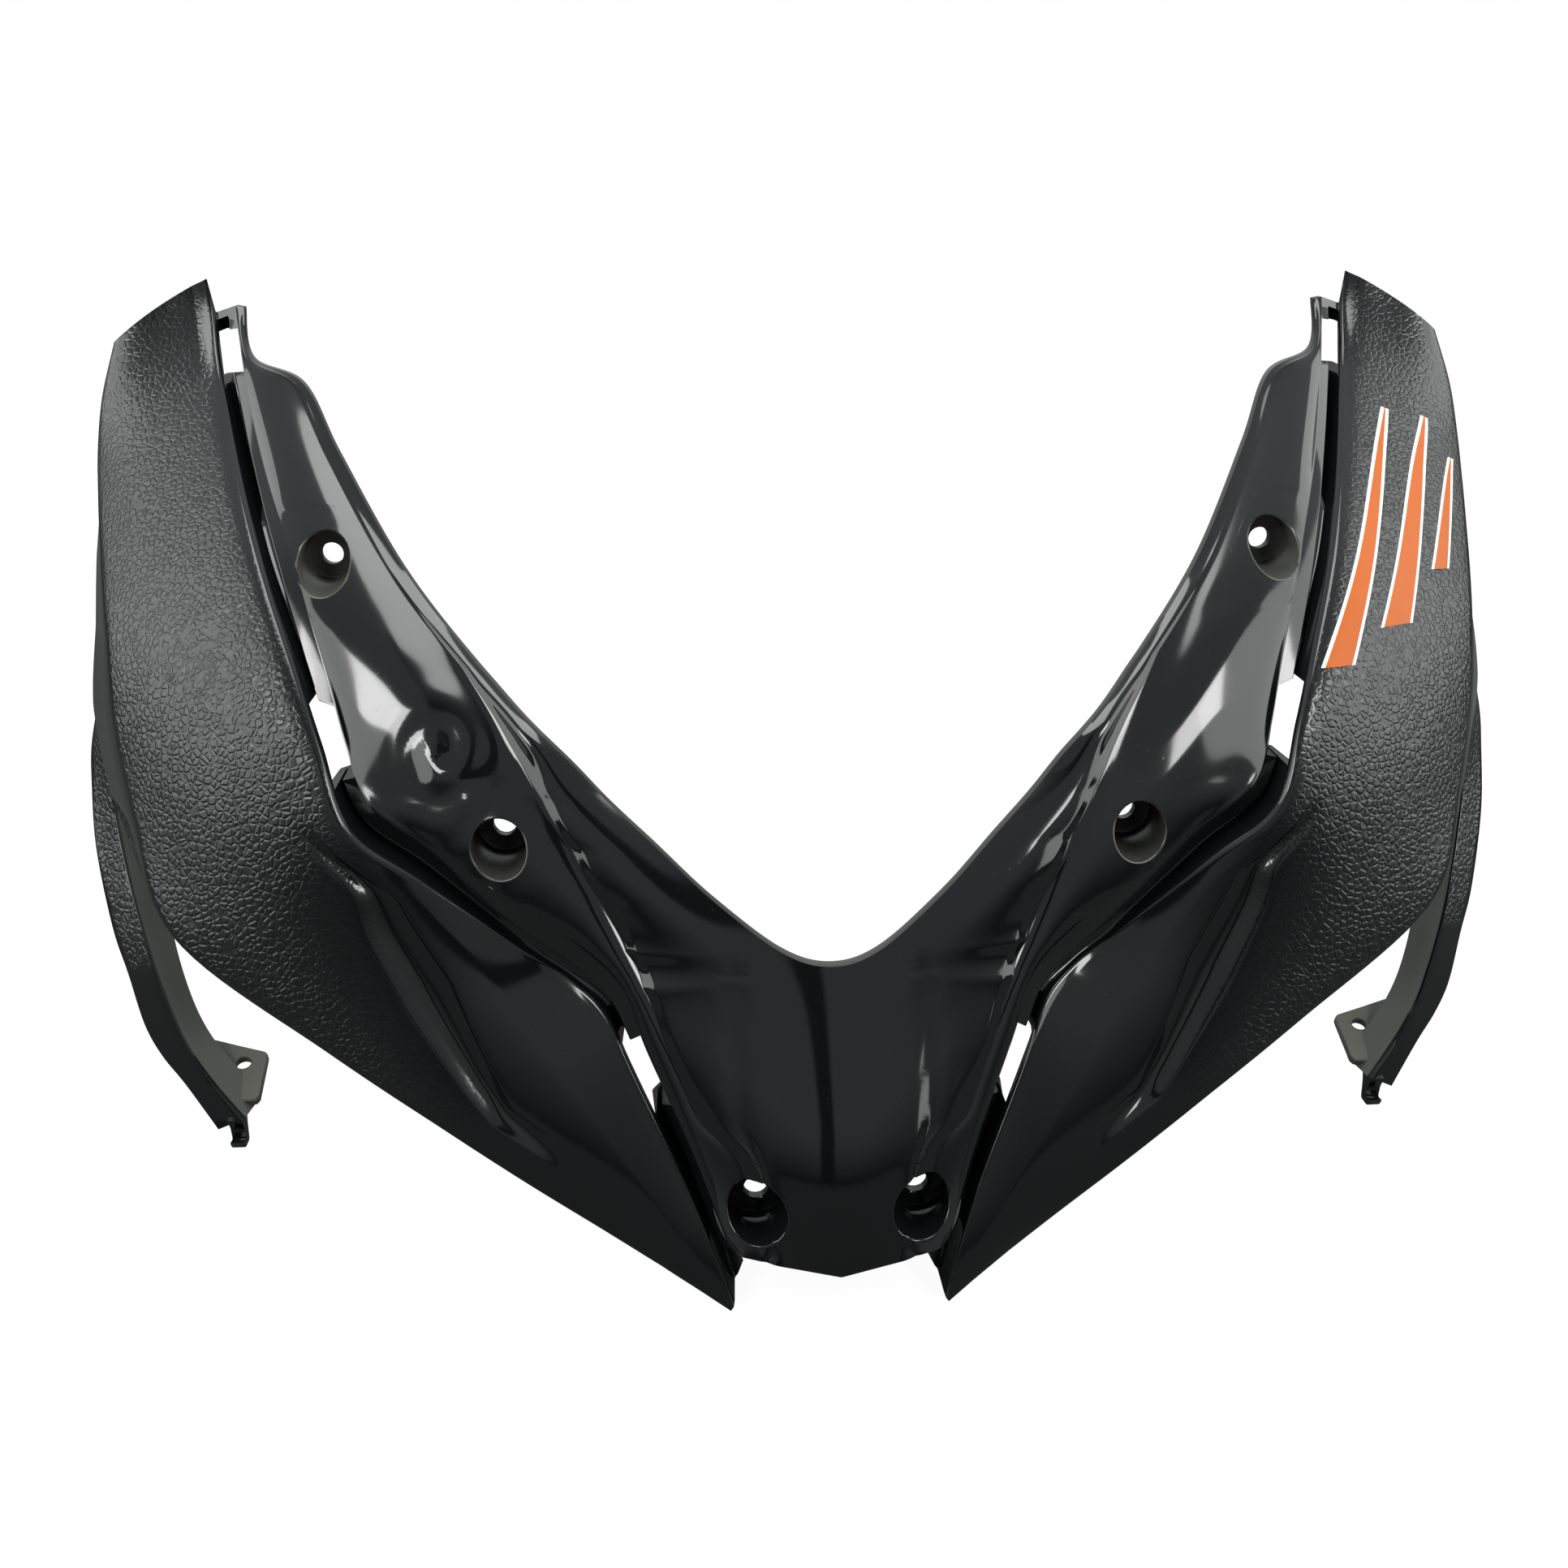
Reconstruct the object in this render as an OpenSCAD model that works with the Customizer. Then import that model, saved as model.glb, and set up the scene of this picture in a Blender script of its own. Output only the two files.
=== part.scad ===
// Motorcycle headlight fairing: one injection-moulded mask with two wings, a stepped light channel
// beside each wing, six screw wells and two rear bracket arms.
// Frame: X to the right seen from the front, Y rearwards along the mould draw, Z up. The origin lies
// between the two nose screws, on the faces their heads bear on. Lengths are millimetres.

/* [Overall] */
// Overall width across the widest part of the side returns
mask_width = 435; // [370:1:505]
// Height from the lower blade points to the wing tips
mask_height = 243.8; // [200:0.1:290]
// Depth from the nose to the wing tips
mask_depth = 208.2; // [170:0.1:250]
// Wall of the moulding
wall = 2.6; // [2:0.1:3.4]

/* [Wings] */
// How far the middle of each wing bulges ahead of a flat sheet
wing_crown = 6; // [2:0.5:9]
// Depth of the leaf-shaped recess that crosses each lower wing
leaf_recess = 3.5; // [1.5:0.25:5]
// Rearward length of the side return at its deepest
side_return = 28; // [20:1:34]
// Roll at the fold between wing face and side return
fold_roll = 2.4; // [1.5:0.1:3.2]

/* [Light channel] */
// Step from the panel crease down to the window facet
facet_drop = 1.4; // [0.8:0.1:2.4]
// Further step of the facet below the lowest window
facet_fall = 4; // [2:0.25:5.5]
// Depth of the narrow slot beside the facet where a light pipe passes
slot_depth = 10; // [6:0.5:12]
// Depth of the same slot where the ledge fills it
ledge_depth = 4; // [2.5:0.25:5]
// Share of the channel's width that the facet takes where the channel turns
facet_share = 0.56; // [0.5:0.01:0.6]

/* [Panel] */
// Forward bulge of the panel that holds the screw wells
panel_crown = 2.5; // [0.5:0.25:4]
// Step up from the outer panel to the inner beak panel
beak_step = 2; // [1:0.25:3]
// Forward bulge of the beak faces
beak_crown = 2; // [0.5:0.25:3]
// Distance from the middle plane over which the beak's ridge is rounded
ridge_round = 10; // [6:0.5:13]

/* [Screw wells] */
// Bore of each screw well, wide enough for the screw head
well_bore = 15; // [13:0.1:16]
// Clearance hole for an M6 screw
screw_hole = 6.4; // [6.2:0.1:7]
// Floor that the screw head bears on
well_floor = 2.8; // [2.2:0.1:3.5]
// Distance of each nose screw from the middle plane
nose_screw_x = 21; // [20:0.5:23]
// Distance of each lower panel screw from the middle plane
low_screw_x = 87; // [85:0.5:89]
// Height of the lower panel screws above the nose screws
low_screw_z = 79; // [77:0.5:81]
// Distance of each upper panel screw from the middle plane
high_screw_x = 138; // [137:0.5:139]
// Height of the upper panel screws above the nose screws
high_screw_z = 144; // [143:0.5:146]

/* [Bracket arms] */
// Thickness of the arm's two webs and its tab
arm_web = 2.6; // [2:0.1:3.2]
// Length of the tab behind the arm's end
tab_reach = 20; // [17:0.5:24]
// Width of the tab across the bike
tab_width = 13; // [11:0.5:15]
// Hole through the tab
tab_hole = 4.6; // [3.8:0.1:5.5]
// Drop of the hook below the arm's end
hook_drop = 7; // [5:0.5:9]

/* [Decal] */
// Thickness of the printed film on the right wing
film = 0.3; // [0.2:0.05:0.5]

/* [Hidden] */
$fn = 40;
plastic = [0.07, 0.07, 0.075];
vinyl = [0.93, 0.45, 0.16];

// The rails are drawn for the first sizes above and stretch with the overall sizes
kx = mask_width / 435;
kz = mask_height / 243.8;
ky = mask_depth / 208.2;
nose_seat = 13;                 // drawn distance from the nose surface to the screw seat
low_seat = 75;
high_seat = 129;
function fit(p) = [p.x * kx, (p.y - nose_seat) * ky, p.z * kz];

// Stations 0 to 15 run down the mask from the wing tip to the lower blade point.
// Crease where the panel turns into the light channel
crease = [[173.5, 192, 209], [169.5, 178, 195], [166, 166, 184], [158, 144, 165], [146, 115, 143],
    [136, 95, 120.5], [129, 80, 101.5], [122, 69, 88.5], [105, 62, 78], [81.5, 51, 65], [64.5, 44, 55],
    [54.5, 37, 46.5], [48, 29, 31.5], [36.5, 14, 8.5], [28, 0, -9], [23, -7, -19]];
// Rolled inner edge of the wing
wing_edge = [[183, 200, 217], [178, 182, 195], [174, 168, 184], [166, 143, 166], [155, 113, 144],
    [143.5, 90, 122], [135, 74, 103.5], [126.5, 62, 82.5], [108, 58, 69.5], [82.5, 54, 51.5],
    [68.5, 47, 44.5], [59.5, 39, 38], [53.5, 30, 27.5], [40, 15, 2.5], [32.5, 5, -13], [27.5, -2, -25.5]];
// Outer fold of the wing, then its lower edge
outer_fold = [[211, 188, 198.5], [214, 177, 183], [214.5, 168, 167], [211.5, 154, 155], [207, 136, 139],
    [202, 116, 120], [199.5, 105, 99], [193, 91, 77], [180.5, 72, 48.5], [137.5, 52.5, 21.5],
    [105, 38, 4.5], [82, 28, -7], [58, 16.5, -17.5], [44, 9, -23], [35, 3, -25.5], [28.4, -2, -27]];
// Edge of the screen opening down to the middle plane and one point past it, then the beak's ridge
opening_edge = [[171, 192, 208.5], [167, 179, 194.5], [150, 168, 188], [137, 147, 170],
    [115.5, 115, 142.5], [93, 90, 120.5], [72.5, 70, 104], [58.5, 61.5, 91.5], [44.5, 50, 81],
    [30, 40, 70], [13, 30.5, 59.5], [0, 26.5, 56.5], [-13, 30.5, 59.5]];
beak_ridge = [[0, 26.5, 56.5], [0, 13, 36], [0, -1, 13], [0, -4.5, -16], [0, -6, -26]];
corner_station = 11;            // the opening reaches the middle plane here

function spline(a, b, c, d, t) =
    0.5 * (2 * b + (c - a) * t + (2 * a - 5 * b + 4 * c - d) * t * t + (3 * b - 3 * c + d - a) * t * t * t);
function rail(r, u) = let (n = len(r) - 1, i = min(floor(u), n - 1))
    fit(spline(r[max(i - 1, 0)], r[i], r[i + 1], r[min(i + 2, n)], u - i));
function ridge_rail(u) = u < corner_station ? rail(opening_edge, u) : rail(beak_ridge, u - corner_station);
function unit(v) = v / max(norm(v), 0.001);
function flat(v) = [v.x, 0, v.z];
function mix(a, b, t) = a + (b - a) * t;

// Finer stations where the channel turns
stations = concat([0, 0.2, 0.3, 0.5, 1, 1.25, 1.5, 1.75, 2, 2.25], [for (u = [2.5:0.5:5.5]) u],
    [for (u = [6:0.25:12]) u], [for (u = [12.5:0.5:15]) u]);
rows = len(stations);
corner_row = search([corner_station], stations)[0];
last_panel_row = search([14], stations)[0];

// Where the leaf recess crosses the wing, as shares of the way from inner edge to outer fold
function leaf_near(u) = lookup(u, [[0, 0.12], [5, 0.12], [7, 0.05], [8, 0.09], [9, 0.3], [10, 0.57],
    [11, 0.8], [12, 0.93], [15, 0.93]]);
function leaf_far(u) = lookup(u, [[0, 0.3], [5, 0.28], [7, 0.11], [8, 0.22], [9, 0.53], [10, 0.76],
    [11, 0.92], [12, 0.98], [15, 0.98]]);
function leaf_depth(u) = leaf_recess * lookup(u, [[6.9, 0], [7.8, 0.8], [9, 1], [10.2, 1], [11.3, 0]]);
function return_depth(u) = side_return * lookup(u, [[0, 0.2], [1, 0.26], [2, 0.45], [3, 0.75], [4, 0.95],
    [5, 1], [6, 0.95], [7, 0.8], [8, 0.42], [9, 0.3], [13, 0.25], [15, 0.22]]);
function return_splay(u) = lookup(u, [[0, 0.1], [2, 0.15], [3, 0.3], [4, 0.38], [5, 0.44],
    [6, 0.55], [7, 0.6], [8, 0.35], [9, 0], [15, 0]]);
function slot(u) = lookup(u, [[0, slot_depth], [3.4, slot_depth], [3.6, ledge_depth], [5.4, ledge_depth],
    [5.5, slot_depth], [6.6, slot_depth], [6.8, ledge_depth], [11, ledge_depth], [11.5, slot_depth],
    [15, slot_depth]]);
// A wall closes the channel's top end a little below the wing tip, then the floor opens to its full depth
function channel_open(u) = lookup(u, [[0, 0], [0.2, 0], [0.3, 1], [15, 1]]);
function channel_side(u) = rail(wing_edge, lookup(u, [[0, 0.5], [0.5, 0.7], [1, 1], [15, 15]]));
function facet_depth(u) = facet_drop
    + lookup(u, [[0, 0], [11.5, 0], [12.5, facet_fall], [15, facet_fall]]);
// Depth of the channel floor at share x of its width, between a closed slope and the open depth
function floor_depth(u, x, deep) =
    mix(x * (channel_side(u).y - rail(crease, u).y + 2), deep, channel_open(u));
function facet_width(u) = facet_share * lookup(u, [[0, 0.75], [2, 0.75], [3, 0.82], [4, 0.97],
    [4.5, 1.12], [5, 1.3], [6.5, 1.36], [7.2, 1.1], [8, 1], [15, 1.05]]);
// Share of the way from crease to opening where the beak step and the beak's side crease run
function step_share(u) = lookup(u, [[0, 0.8], [4, 0.84], [5, 0.9], [6, 0.8], [7, 0.74], [8, 0.62], [9, 0.43],
    [10, 0.22], [11, 0.1], [12, 0.12], [13, 0.15], [14, 0.16]]);
function side_share(u) = lookup(u, [[0, 0.93], [5, 0.96], [8, 0.9], [9, 0.86], [10, 0.76], [11, 0.53],
    [12, 0.47], [13, 0.36], [14, 0.3]]);

// Wing face between its inner edge (0) and its outer fold (1)
crown_way = unit([0.45, -0.85, 0.25]);
function wing_at(u, f) = let (a = rail(wing_edge, u), b = rail(outer_fold, u))
    mix(a, b, f) + crown_way * wing_crown * sin(180 * f) * min(1, norm(b - a) / 90);
// Panel face between the crease (0) and the screen opening or ridge (1)
function panel_at(u, h) = let (a = rail(crease, u), b = ridge_rail(u), s = step_share(u),
    beak = u < 4 ? 0 : min(1, (u - 4) / 2) * min(1, (15 - u) / 2))
    mix(a, b, h) - [0, panel_crown * sin(180 * min(1, h / s)) * min(1, u / 3)
        + (h > s ? beak * (beak_crown * sin(180 * (h - s) / (1 - s)) + beak_step * (1 - h) / (1 - s)) : 0)
        - (u < corner_station ? 0 : ridge_slope(a, b, s, beak) * ridge_blend(a.x * (1 - h))), 0];
// Sideways slope that the beak face has at the middle plane, and the parabola that takes it off there
function ridge_slope(a, b, s, beak) = (a.y - b.y - beak * (PI * beak_crown + beak_step) / (1 - s)) / a.x;
function ridge_blend(x) = pow(max(0, ridge_round - x), 2) / (2 * ridge_round);
function step_end_share(u) = let (s = step_share(u))
    s + min(3 / max(1, norm(ridge_rail(u) - rail(crease, u))), 0.25 * (1 - s));
function side_crease_share(u) = let (e = step_end_share(u)) max(side_share(u), e + 0.2 * (1 - e));

// One row across the right half, from the rear of the side return to the middle.
// Sideways moves shrink where the wing narrows to a point.
function local_wall(span) = min(wall, span * 0.12);
function row_front(u) = let (
    p = rail(crease, u), w = rail(wing_edge, u), o = rail(outer_fold, u), c = channel_side(u),
    g = unit(flat(c - p)), l = norm(flat(c - p)), inward = unit(flat(w - o)), span = norm(w - o),
    t = local_wall(span), r = min(fold_roll, span * 0.08), lip = min(1.5, span * 0.06),
    face_end = 1 - (r + t * 0.4) / span,
    roll_end = max(leaf_near(u) / 2, (lip + t * 1.1 + span * 0.01) / span),
    n = min(max(leaf_near(u), roll_end + 0.05), face_end - 0.25),
    f = min(max(leaf_far(u), n + 0.08), face_end - 0.12),
    back = return_depth(u), splay = return_splay(u), s = step_share(u), m = side_crease_share(u),
    step_end = step_end_share(u), fw = facet_width(u), fd = facet_depth(u))
    [o - inward * splay * back + [0, back, 0],
     o - inward * splay * r + [0, r, 0],
     o + inward * r * 0.4 + [0, r * 0.2, 0],
     wing_at(u, 1 - r / span),
     wing_at(u, mix(f, face_end, 0.66)), wing_at(u, mix(f, face_end, 0.33)), wing_at(u, f),
     wing_at(u, (n + f) / 2) + [0, leaf_depth(u), 0], wing_at(u, n), wing_at(u, (roll_end + n) / 2),
     w - inward * lip, w + [0, 0.4, 0] - inward * lip * 0.3, p + g * 0.95 * l + [0, c.y - p.y + 2, 0],
     p + g * mix(fw, 1, 0.7) * l + [0, floor_depth(u, mix(fw, 1, 0.7), fd + slot(u)), 0],
     p + g * (fw + 0.03) * l + [0, floor_depth(u, fw + 0.03, fd + slot(u)), 0],
     p + g * fw * l + [0, floor_depth(u, fw, fd), 0],
     p, panel_at(u, s * 0.33), panel_at(u, s * 0.66), panel_at(u, s - 0.001), panel_at(u, step_end),
     panel_at(u, mix(step_end, m, 0.5)), panel_at(u, m), panel_at(u, mix(m, 1, 0.5)),
     panel_at(u, max(mix(m, 1, 0.75), u < corner_station ? 0 : 1 - ridge_round * 0.6 / p.x)),
     panel_at(u, 1)];
// The same row behind the wall; slanted faces are moved along the draw, walls square to it
draw = 1.3 * wall;
function row_back(u) = let (
    q = row_front(u), p = rail(crease, u), w = rail(wing_edge, u), o = rail(outer_fold, u), v = ridge_rail(u),
    g = unit(flat(channel_side(u) - p)), inward = unit(flat(w - o)), span = norm(w - o), t = local_wall(span),
    edge = norm(v - p), k = min(wall, edge * 0.6))
    [q[0] + inward * t, q[1] + inward * t + [0, draw, 0], q[2] + inward * t * 0.8 + [0, draw, 0],
     q[3] + inward * t * 0.4 + [0, draw, 0],
     for (j = [4:9]) q[j] + [0, draw, 0],
     q[10] - inward * t * 0.9 + [0, wall, 0],
     q[11] - inward * t * 0.95 + [0, wall + 0.6, 0],
     q[12] - inward * t + [0, wall, 0],
     q[13] + g * t * 0.9 * channel_open(u) + [0, wall, 0],
     q[14] - g * k + [0, wall, 0],
     q[15] - g * k + [0, max(0.2, 1.05 - (q[15].y - p.y) * 0.15) * wall, 0],
     q[16] - g * k * 0.3 * min(1, max(0, (edge - 6) / 10)) + [0, draw, 0],
     for (j = [17:25]) q[j] + [0, draw, 0]];
cols = 26;
half_points = concat([for (u = stations) each row_front(u)], [for (u = stations) each row_back(u)]);
function mirror_x(p) = [-p.x, p.y, p.z];

// Channel columns 13 to 15 hold the three windows; the panel ends one station before the wing
window_cols = [13, 15];
windows = [[0.5, 1.5], [5.5, 6.5], [11.75, 12.5]];
function window_here(u) = len([for (w = windows) if (u >= w[0] && u < w[1]) 1]) > 0;
function solid_cell(i, j) = i >= 0 && i < rows - 1 && j >= 0 && j < cols - 1
    && !(j >= 12 && i >= last_panel_row)
    && !(j >= window_cols[0] && j <= window_cols[1] && window_here(stations[i]));

// Corner numbers of the grid: side 0 right, 1 left; face 0 front, 1 back
function id(side, i, j, face) = let (shared = j == cols - 1 && i >= corner_row)
    (shared ? 0 : side) * 2 * rows * cols + face * rows * cols + i * cols + j;
function quad(a, b, c, d) = [[a, b, c], [a, c, d]];
function cell(s, i, j) = let (a = id(s, i, j, 0), b = id(s, i + 1, j, 0), c = id(s, i + 1, j + 1, 0),
    d = id(s, i, j + 1, 0), a2 = id(s, i, j, 1), b2 = id(s, i + 1, j, 1), c2 = id(s, i + 1, j + 1, 1),
    d2 = id(s, i, j + 1, 1))
    [each quad(a, b, c, d), each quad(a2, d2, c2, b2),
     each (solid_cell(i, j - 1) ? [] : quad(b, a, a2, b2)),
     each (solid_cell(i + 1, j) ? [] : quad(c, b, b2, c2)),
     each (solid_cell(i, j + 1) || (j == cols - 2 && i >= corner_row) ? [] : quad(d, c, c2, d2)),
     each (solid_cell(i - 1, j) ? [] : quad(a, d, d2, a2))];
function turned(f) = [f[2], f[1], f[0]];
mask_faces = [for (s = [0, 1], i = [0:rows - 2], j = [0:cols - 2]) if (solid_cell(i, j))
    each (s == 0 ? cell(s, i, j) : [for (f = cell(s, i, j)) turned(f)])];

module mask() {
    polyhedron(points = concat(half_points, [for (p = half_points) mirror_x(p)]), faces = mask_faces, convexity = 10);
}

// Screw wells: [x, z, drawn seat depth, station, share across the panel] per side
wells = [[nose_screw_x, 0, nose_seat, 13.5, 0.35], [low_screw_x, low_screw_z, low_seat, 8, 0.3],
    [high_screw_x, high_screw_z, high_seat, 4, 0.26]];
cup = well_bore + 2 * wall;
cut_side = 80;                  // block that trims a cup, larger than any cup
cup_length = 26;
module along_draw(x, y, z) { translate([x, y, z]) rotate([-90, 0, 0]) children(); }
function seat_y(w) = (w[2] - nose_seat) * ky;
// Everything ahead of the middle of the wall is cut off the cup
module ahead_of_panel(w) {
    c = panel_at(w[3], w[4]);
    down = unit(panel_at(w[3] + 0.2, w[4]) - panel_at(w[3] - 0.2, w[4]));
    across = unit(panel_at(w[3], w[4] - 0.04) - panel_at(w[3], w[4] + 0.04));
    out = unit(cross(across, down));
    up = cross(out, across);
    n = out.y < 0 ? out : -out;
    m = c + [0, wall * 0.5, 0];
    multmatrix([[across.x, up.x, n.x, m.x], [across.y, up.y, n.y, m.y], [across.z, up.z, n.z, m.z]])
        translate([-cut_side / 2, -cut_side / 2, 0]) cube([cut_side, cut_side, cut_side]);
}
module cups(side) {
    scale([side, 1, 1]) for (w = wells) difference() {
        along_draw(w[0] * kx, seat_y(w) - cup_length, w[1] * kz)
            cylinder(d = cup, h = cup_length + well_floor);
        ahead_of_panel(w);
    }
}
module well_cuts(side) {
    for (w = wells) {
        along_draw(side * w[0] * kx, seat_y(w) - cut_side / 2, w[1] * kz) cylinder(d = well_bore, h = cut_side / 2);
        along_draw(side * w[0] * kx, seat_y(w) - 1, w[1] * kz) cylinder(d = screw_hole, h = well_floor + 2);
    }
}

// Bracket arm: an L of two webs that runs from the side return down to the tab
arm_outer = [[211.5, 133, 108], [213, 131, 98], [216, 130, 86], [216.5, 127, 76], [215, 118, 58], [209.5, 106, 37],
    [204.5, 99, 24.5], [199.5, 92, 11], [194, 87, 3], [186, 80, -3], [175.5, 71, -13]];
arm_fold = [[206, 122, 108], [207, 121, 98], [208.5, 121, 86], [208, 119, 76], [205, 112, 60], [199.5, 101, 43.5],
    [194.5, 93, 30], [189.5, 87, 18], [184.5, 82, 8.5], [177, 76, 0], [167, 69, -8.5]];
arm_inner = [[199, 131, 108], [199.5, 132, 98], [201, 134, 86], [201.5, 132, 74], [200, 126, 57], [195.5, 115, 39],
    [190.5, 104, 26], [185.5, 97, 14], [180, 92, 5.5], [173, 87, -1], [165, 81, -8.5]];
arm_steps = [for (u = [0:0.5:10]) u];
function arm_row(u) = [rail(arm_outer, u), rail(arm_fold, u), rail(arm_inner, u)];
// Each web is thickened towards the inside of the L, square to itself
function arm_row_back(u) = let (q = arm_row(u), d = unit(q[0] - q[1]), e = unit(q[2] - q[1]), c = d * e,
    s = sqrt(1 - c * c))
    [q[0] + unit(e - d * c) * arm_web, q[1] + (d + e) * arm_web / s, q[2] + unit(d - e * c) * arm_web];
arm_rows = len(arm_steps);
function arm_id(i, j, face) = face * arm_rows * 3 + i * 3 + j;
function arm_on(i, j) = i >= 0 && i < arm_rows - 1 && j >= 0 && j < 2;
function arm_cell(i, j) = let (a = arm_id(i, j, 0), b = arm_id(i + 1, j, 0), c = arm_id(i + 1, j + 1, 0),
    d = arm_id(i, j + 1, 0), a2 = arm_id(i, j, 1), b2 = arm_id(i + 1, j, 1), c2 = arm_id(i + 1, j + 1, 1),
    d2 = arm_id(i, j + 1, 1))
    [each quad(a, b, c, d), each quad(a2, d2, c2, b2),
     each (arm_on(i, j - 1) ? [] : quad(b, a, a2, b2)), each (arm_on(i + 1, j) ? [] : quad(c, b, b2, c2)),
     each (arm_on(i, j + 1) ? [] : quad(d, c, c2, d2)), each (arm_on(i - 1, j) ? [] : quad(a, d, d2, a2))];
arm_faces = [for (i = [0:arm_rows - 2], j = [0:1]) each arm_cell(i, j)];
module arm() {
    polyhedron(points = concat([for (u = arm_steps) each arm_row(u)], [for (u = arm_steps) each arm_row_back(u)]),
        faces = arm_faces, convexity = 6);
}
// Tab with its hole, tipped up towards the rear, and the small hook under the arm's end
tab_root = fit([170, 78, -8]);
hook_root = fit([170, 72, -12]);
hook_width = 4;
tab_tilt = 17;
module tab() {
    translate(tab_root) rotate([tab_tilt, 0, 0]) difference() {
        linear_extrude(arm_web) polygon([[-tab_width * 0.45, 0], [tab_width * 0.5, -2], [tab_width * 0.75, tab_reach * 0.5],
            [tab_width * 0.6, tab_reach], [-tab_width * 0.4, tab_reach - 3]]);
        translate([1.5, tab_reach - 7, -1]) cylinder(d = tab_hole, h = arm_web + 2, $fn = 32);
    }
}
module hook() {
    translate(hook_root) rotate([90, 0, 90]) translate([0, 0, -hook_width / 2]) linear_extrude(hook_width)
        polygon([[-3, 3], [4, 3], [3, -1], [2.5, -hook_drop], [-2, -hook_drop], [-3.5, -hook_drop + 2.5],
            [-0.5, -hook_drop + 2], [-1, -1]]);
}
module bracket(side) {
    scale([side, 1, 1]) { arm(); tab(); hook(); }
}

module fairing_shell() {
    color(plastic) difference() {
        union() {
            mask();
            for (side = [-1, 1]) { cups(side); bracket(side); }
        }
        for (side = [-1, 1]) well_cuts(side);
    }
}

// Printed film on the right wing, laid on the wing's own face
film_rows = [for (i = [0:rows - 1]) if (stations[i] >= 2 && stations[i] <= 5.5) i];
film_cols = [4, 5, 6];
fr = len(film_rows);
fc = len(film_cols);
function film_id(i, j, face) = face * fr * fc + i * fc + j;
function film_on(i, j) = i >= 0 && i < fr - 1 && j >= 0 && j < fc - 1;
function film_cell(i, j) = let (a = film_id(i, j, 0), b = film_id(i + 1, j, 0), c = film_id(i + 1, j + 1, 0),
    d = film_id(i, j + 1, 0), a2 = film_id(i, j, 1), b2 = film_id(i + 1, j, 1), c2 = film_id(i + 1, j + 1, 1),
    d2 = film_id(i, j + 1, 1))
    [each quad(a, b, c, d), each quad(a2, d2, c2, b2),
     each (film_on(i, j - 1) ? [] : quad(b, a, a2, b2)), each (film_on(i + 1, j) ? [] : quad(c, b, b2, c2)),
     each (film_on(i, j + 1) ? [] : quad(d, c, c2, d2)), each (film_on(i - 1, j) ? [] : quad(a, d, d2, a2))];
module wing_decal() {
    under = [for (i = film_rows, j = film_cols) half_points[i * cols + j]];
    color(vinyl) polyhedron(points = concat([for (p = under) p + crown_way * film], under),
        faces = [for (i = [0:fr - 2], j = [0:fc - 2]) each film_cell(i, j)], convexity = 4);
}

fairing_shell();
wing_decal();
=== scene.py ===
"""Dressed model of a motorcycle headlight fairing: the moulded shell, its arms and the film on one wing.

Frame: metres, X to the right seen from the front, Y rearwards along the mould draw, Z up, with the origin
between the two nose screws on the faces that their heads bear on. Shapes are worked out in millimetres.
"""
import logging
from dataclasses import dataclass, field
from enum import Enum

import bpy
import numpy as np
from mathutils import Matrix, Vector


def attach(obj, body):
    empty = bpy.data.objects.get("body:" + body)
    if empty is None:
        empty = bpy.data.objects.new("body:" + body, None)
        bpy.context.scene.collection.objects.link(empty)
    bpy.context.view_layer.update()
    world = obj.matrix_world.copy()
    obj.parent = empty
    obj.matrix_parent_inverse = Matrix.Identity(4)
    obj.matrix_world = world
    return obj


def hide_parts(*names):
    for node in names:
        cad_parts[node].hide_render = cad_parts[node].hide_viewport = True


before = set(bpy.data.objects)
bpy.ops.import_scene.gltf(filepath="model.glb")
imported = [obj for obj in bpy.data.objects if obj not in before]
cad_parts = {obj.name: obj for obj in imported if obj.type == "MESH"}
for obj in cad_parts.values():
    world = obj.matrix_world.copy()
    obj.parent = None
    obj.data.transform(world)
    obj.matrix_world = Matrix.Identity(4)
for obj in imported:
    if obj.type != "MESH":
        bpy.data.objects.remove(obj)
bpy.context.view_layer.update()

log = logging.getLogger("fairing")
MM = 0.001
NOSE_SEAT = 13.0  # drawn distance from the nose surface to the screw seats


class Side(Enum):
    """The two mirrored halves of the moulding, seen from the front."""

    RIGHT = 1
    LEFT = -1


# The camera of the photograph: a 36 mm wide square sensor and a long lens, from a little above the beak
CAMERA_PLACE = (-0.03555, -0.35833, 0.25032)
CAMERA_RIGHT = (0.9980, -0.0633, -0.0031)
CAMERA_UP = (0.0255, 0.3568, 0.9338)
CAMERA_BACK = (-0.0580, -0.9320, 0.3577)
CAMERA_LENS_MM = 37.267


def linear(hex_colour: str) -> tuple[float, float, float, float]:
    """Turns an sRGB hex colour into linear RGBA.

    Args:
        hex_colour: six hex digits after a hash sign.

    Returns:
        The linear colour with alpha 1.
    """
    v = np.array([int(hex_colour[i:i + 2], 16) for i in (1, 3, 5)]) / 255.0
    v = np.where(v <= 0.04045, v / 12.92, ((v + 0.055) / 1.055) ** 2.4)
    return (*v.tolist(), 1.0)


def unit(v: np.ndarray) -> np.ndarray:
    """Scales vectors along the last axis to length 1."""
    return v / np.maximum(np.linalg.norm(v, axis=-1, keepdims=True), 1e-3)


def mix(a: np.ndarray, b: np.ndarray, t: np.ndarray | float) -> np.ndarray:
    """Straight blend a + (b - a) t, with t per row where it is an array."""
    t = np.asarray(t, float)
    return a + (b - a) * (t[..., None] if t.ndim and np.ndim(a) > t.ndim else t)


def smooth(t: np.ndarray) -> np.ndarray:
    """Smooth step 3t^2 - 2t^3 of t held between 0 and 1."""
    t = np.clip(t, 0.0, 1.0)
    return t * t * (3.0 - 2.0 * t)


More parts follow.
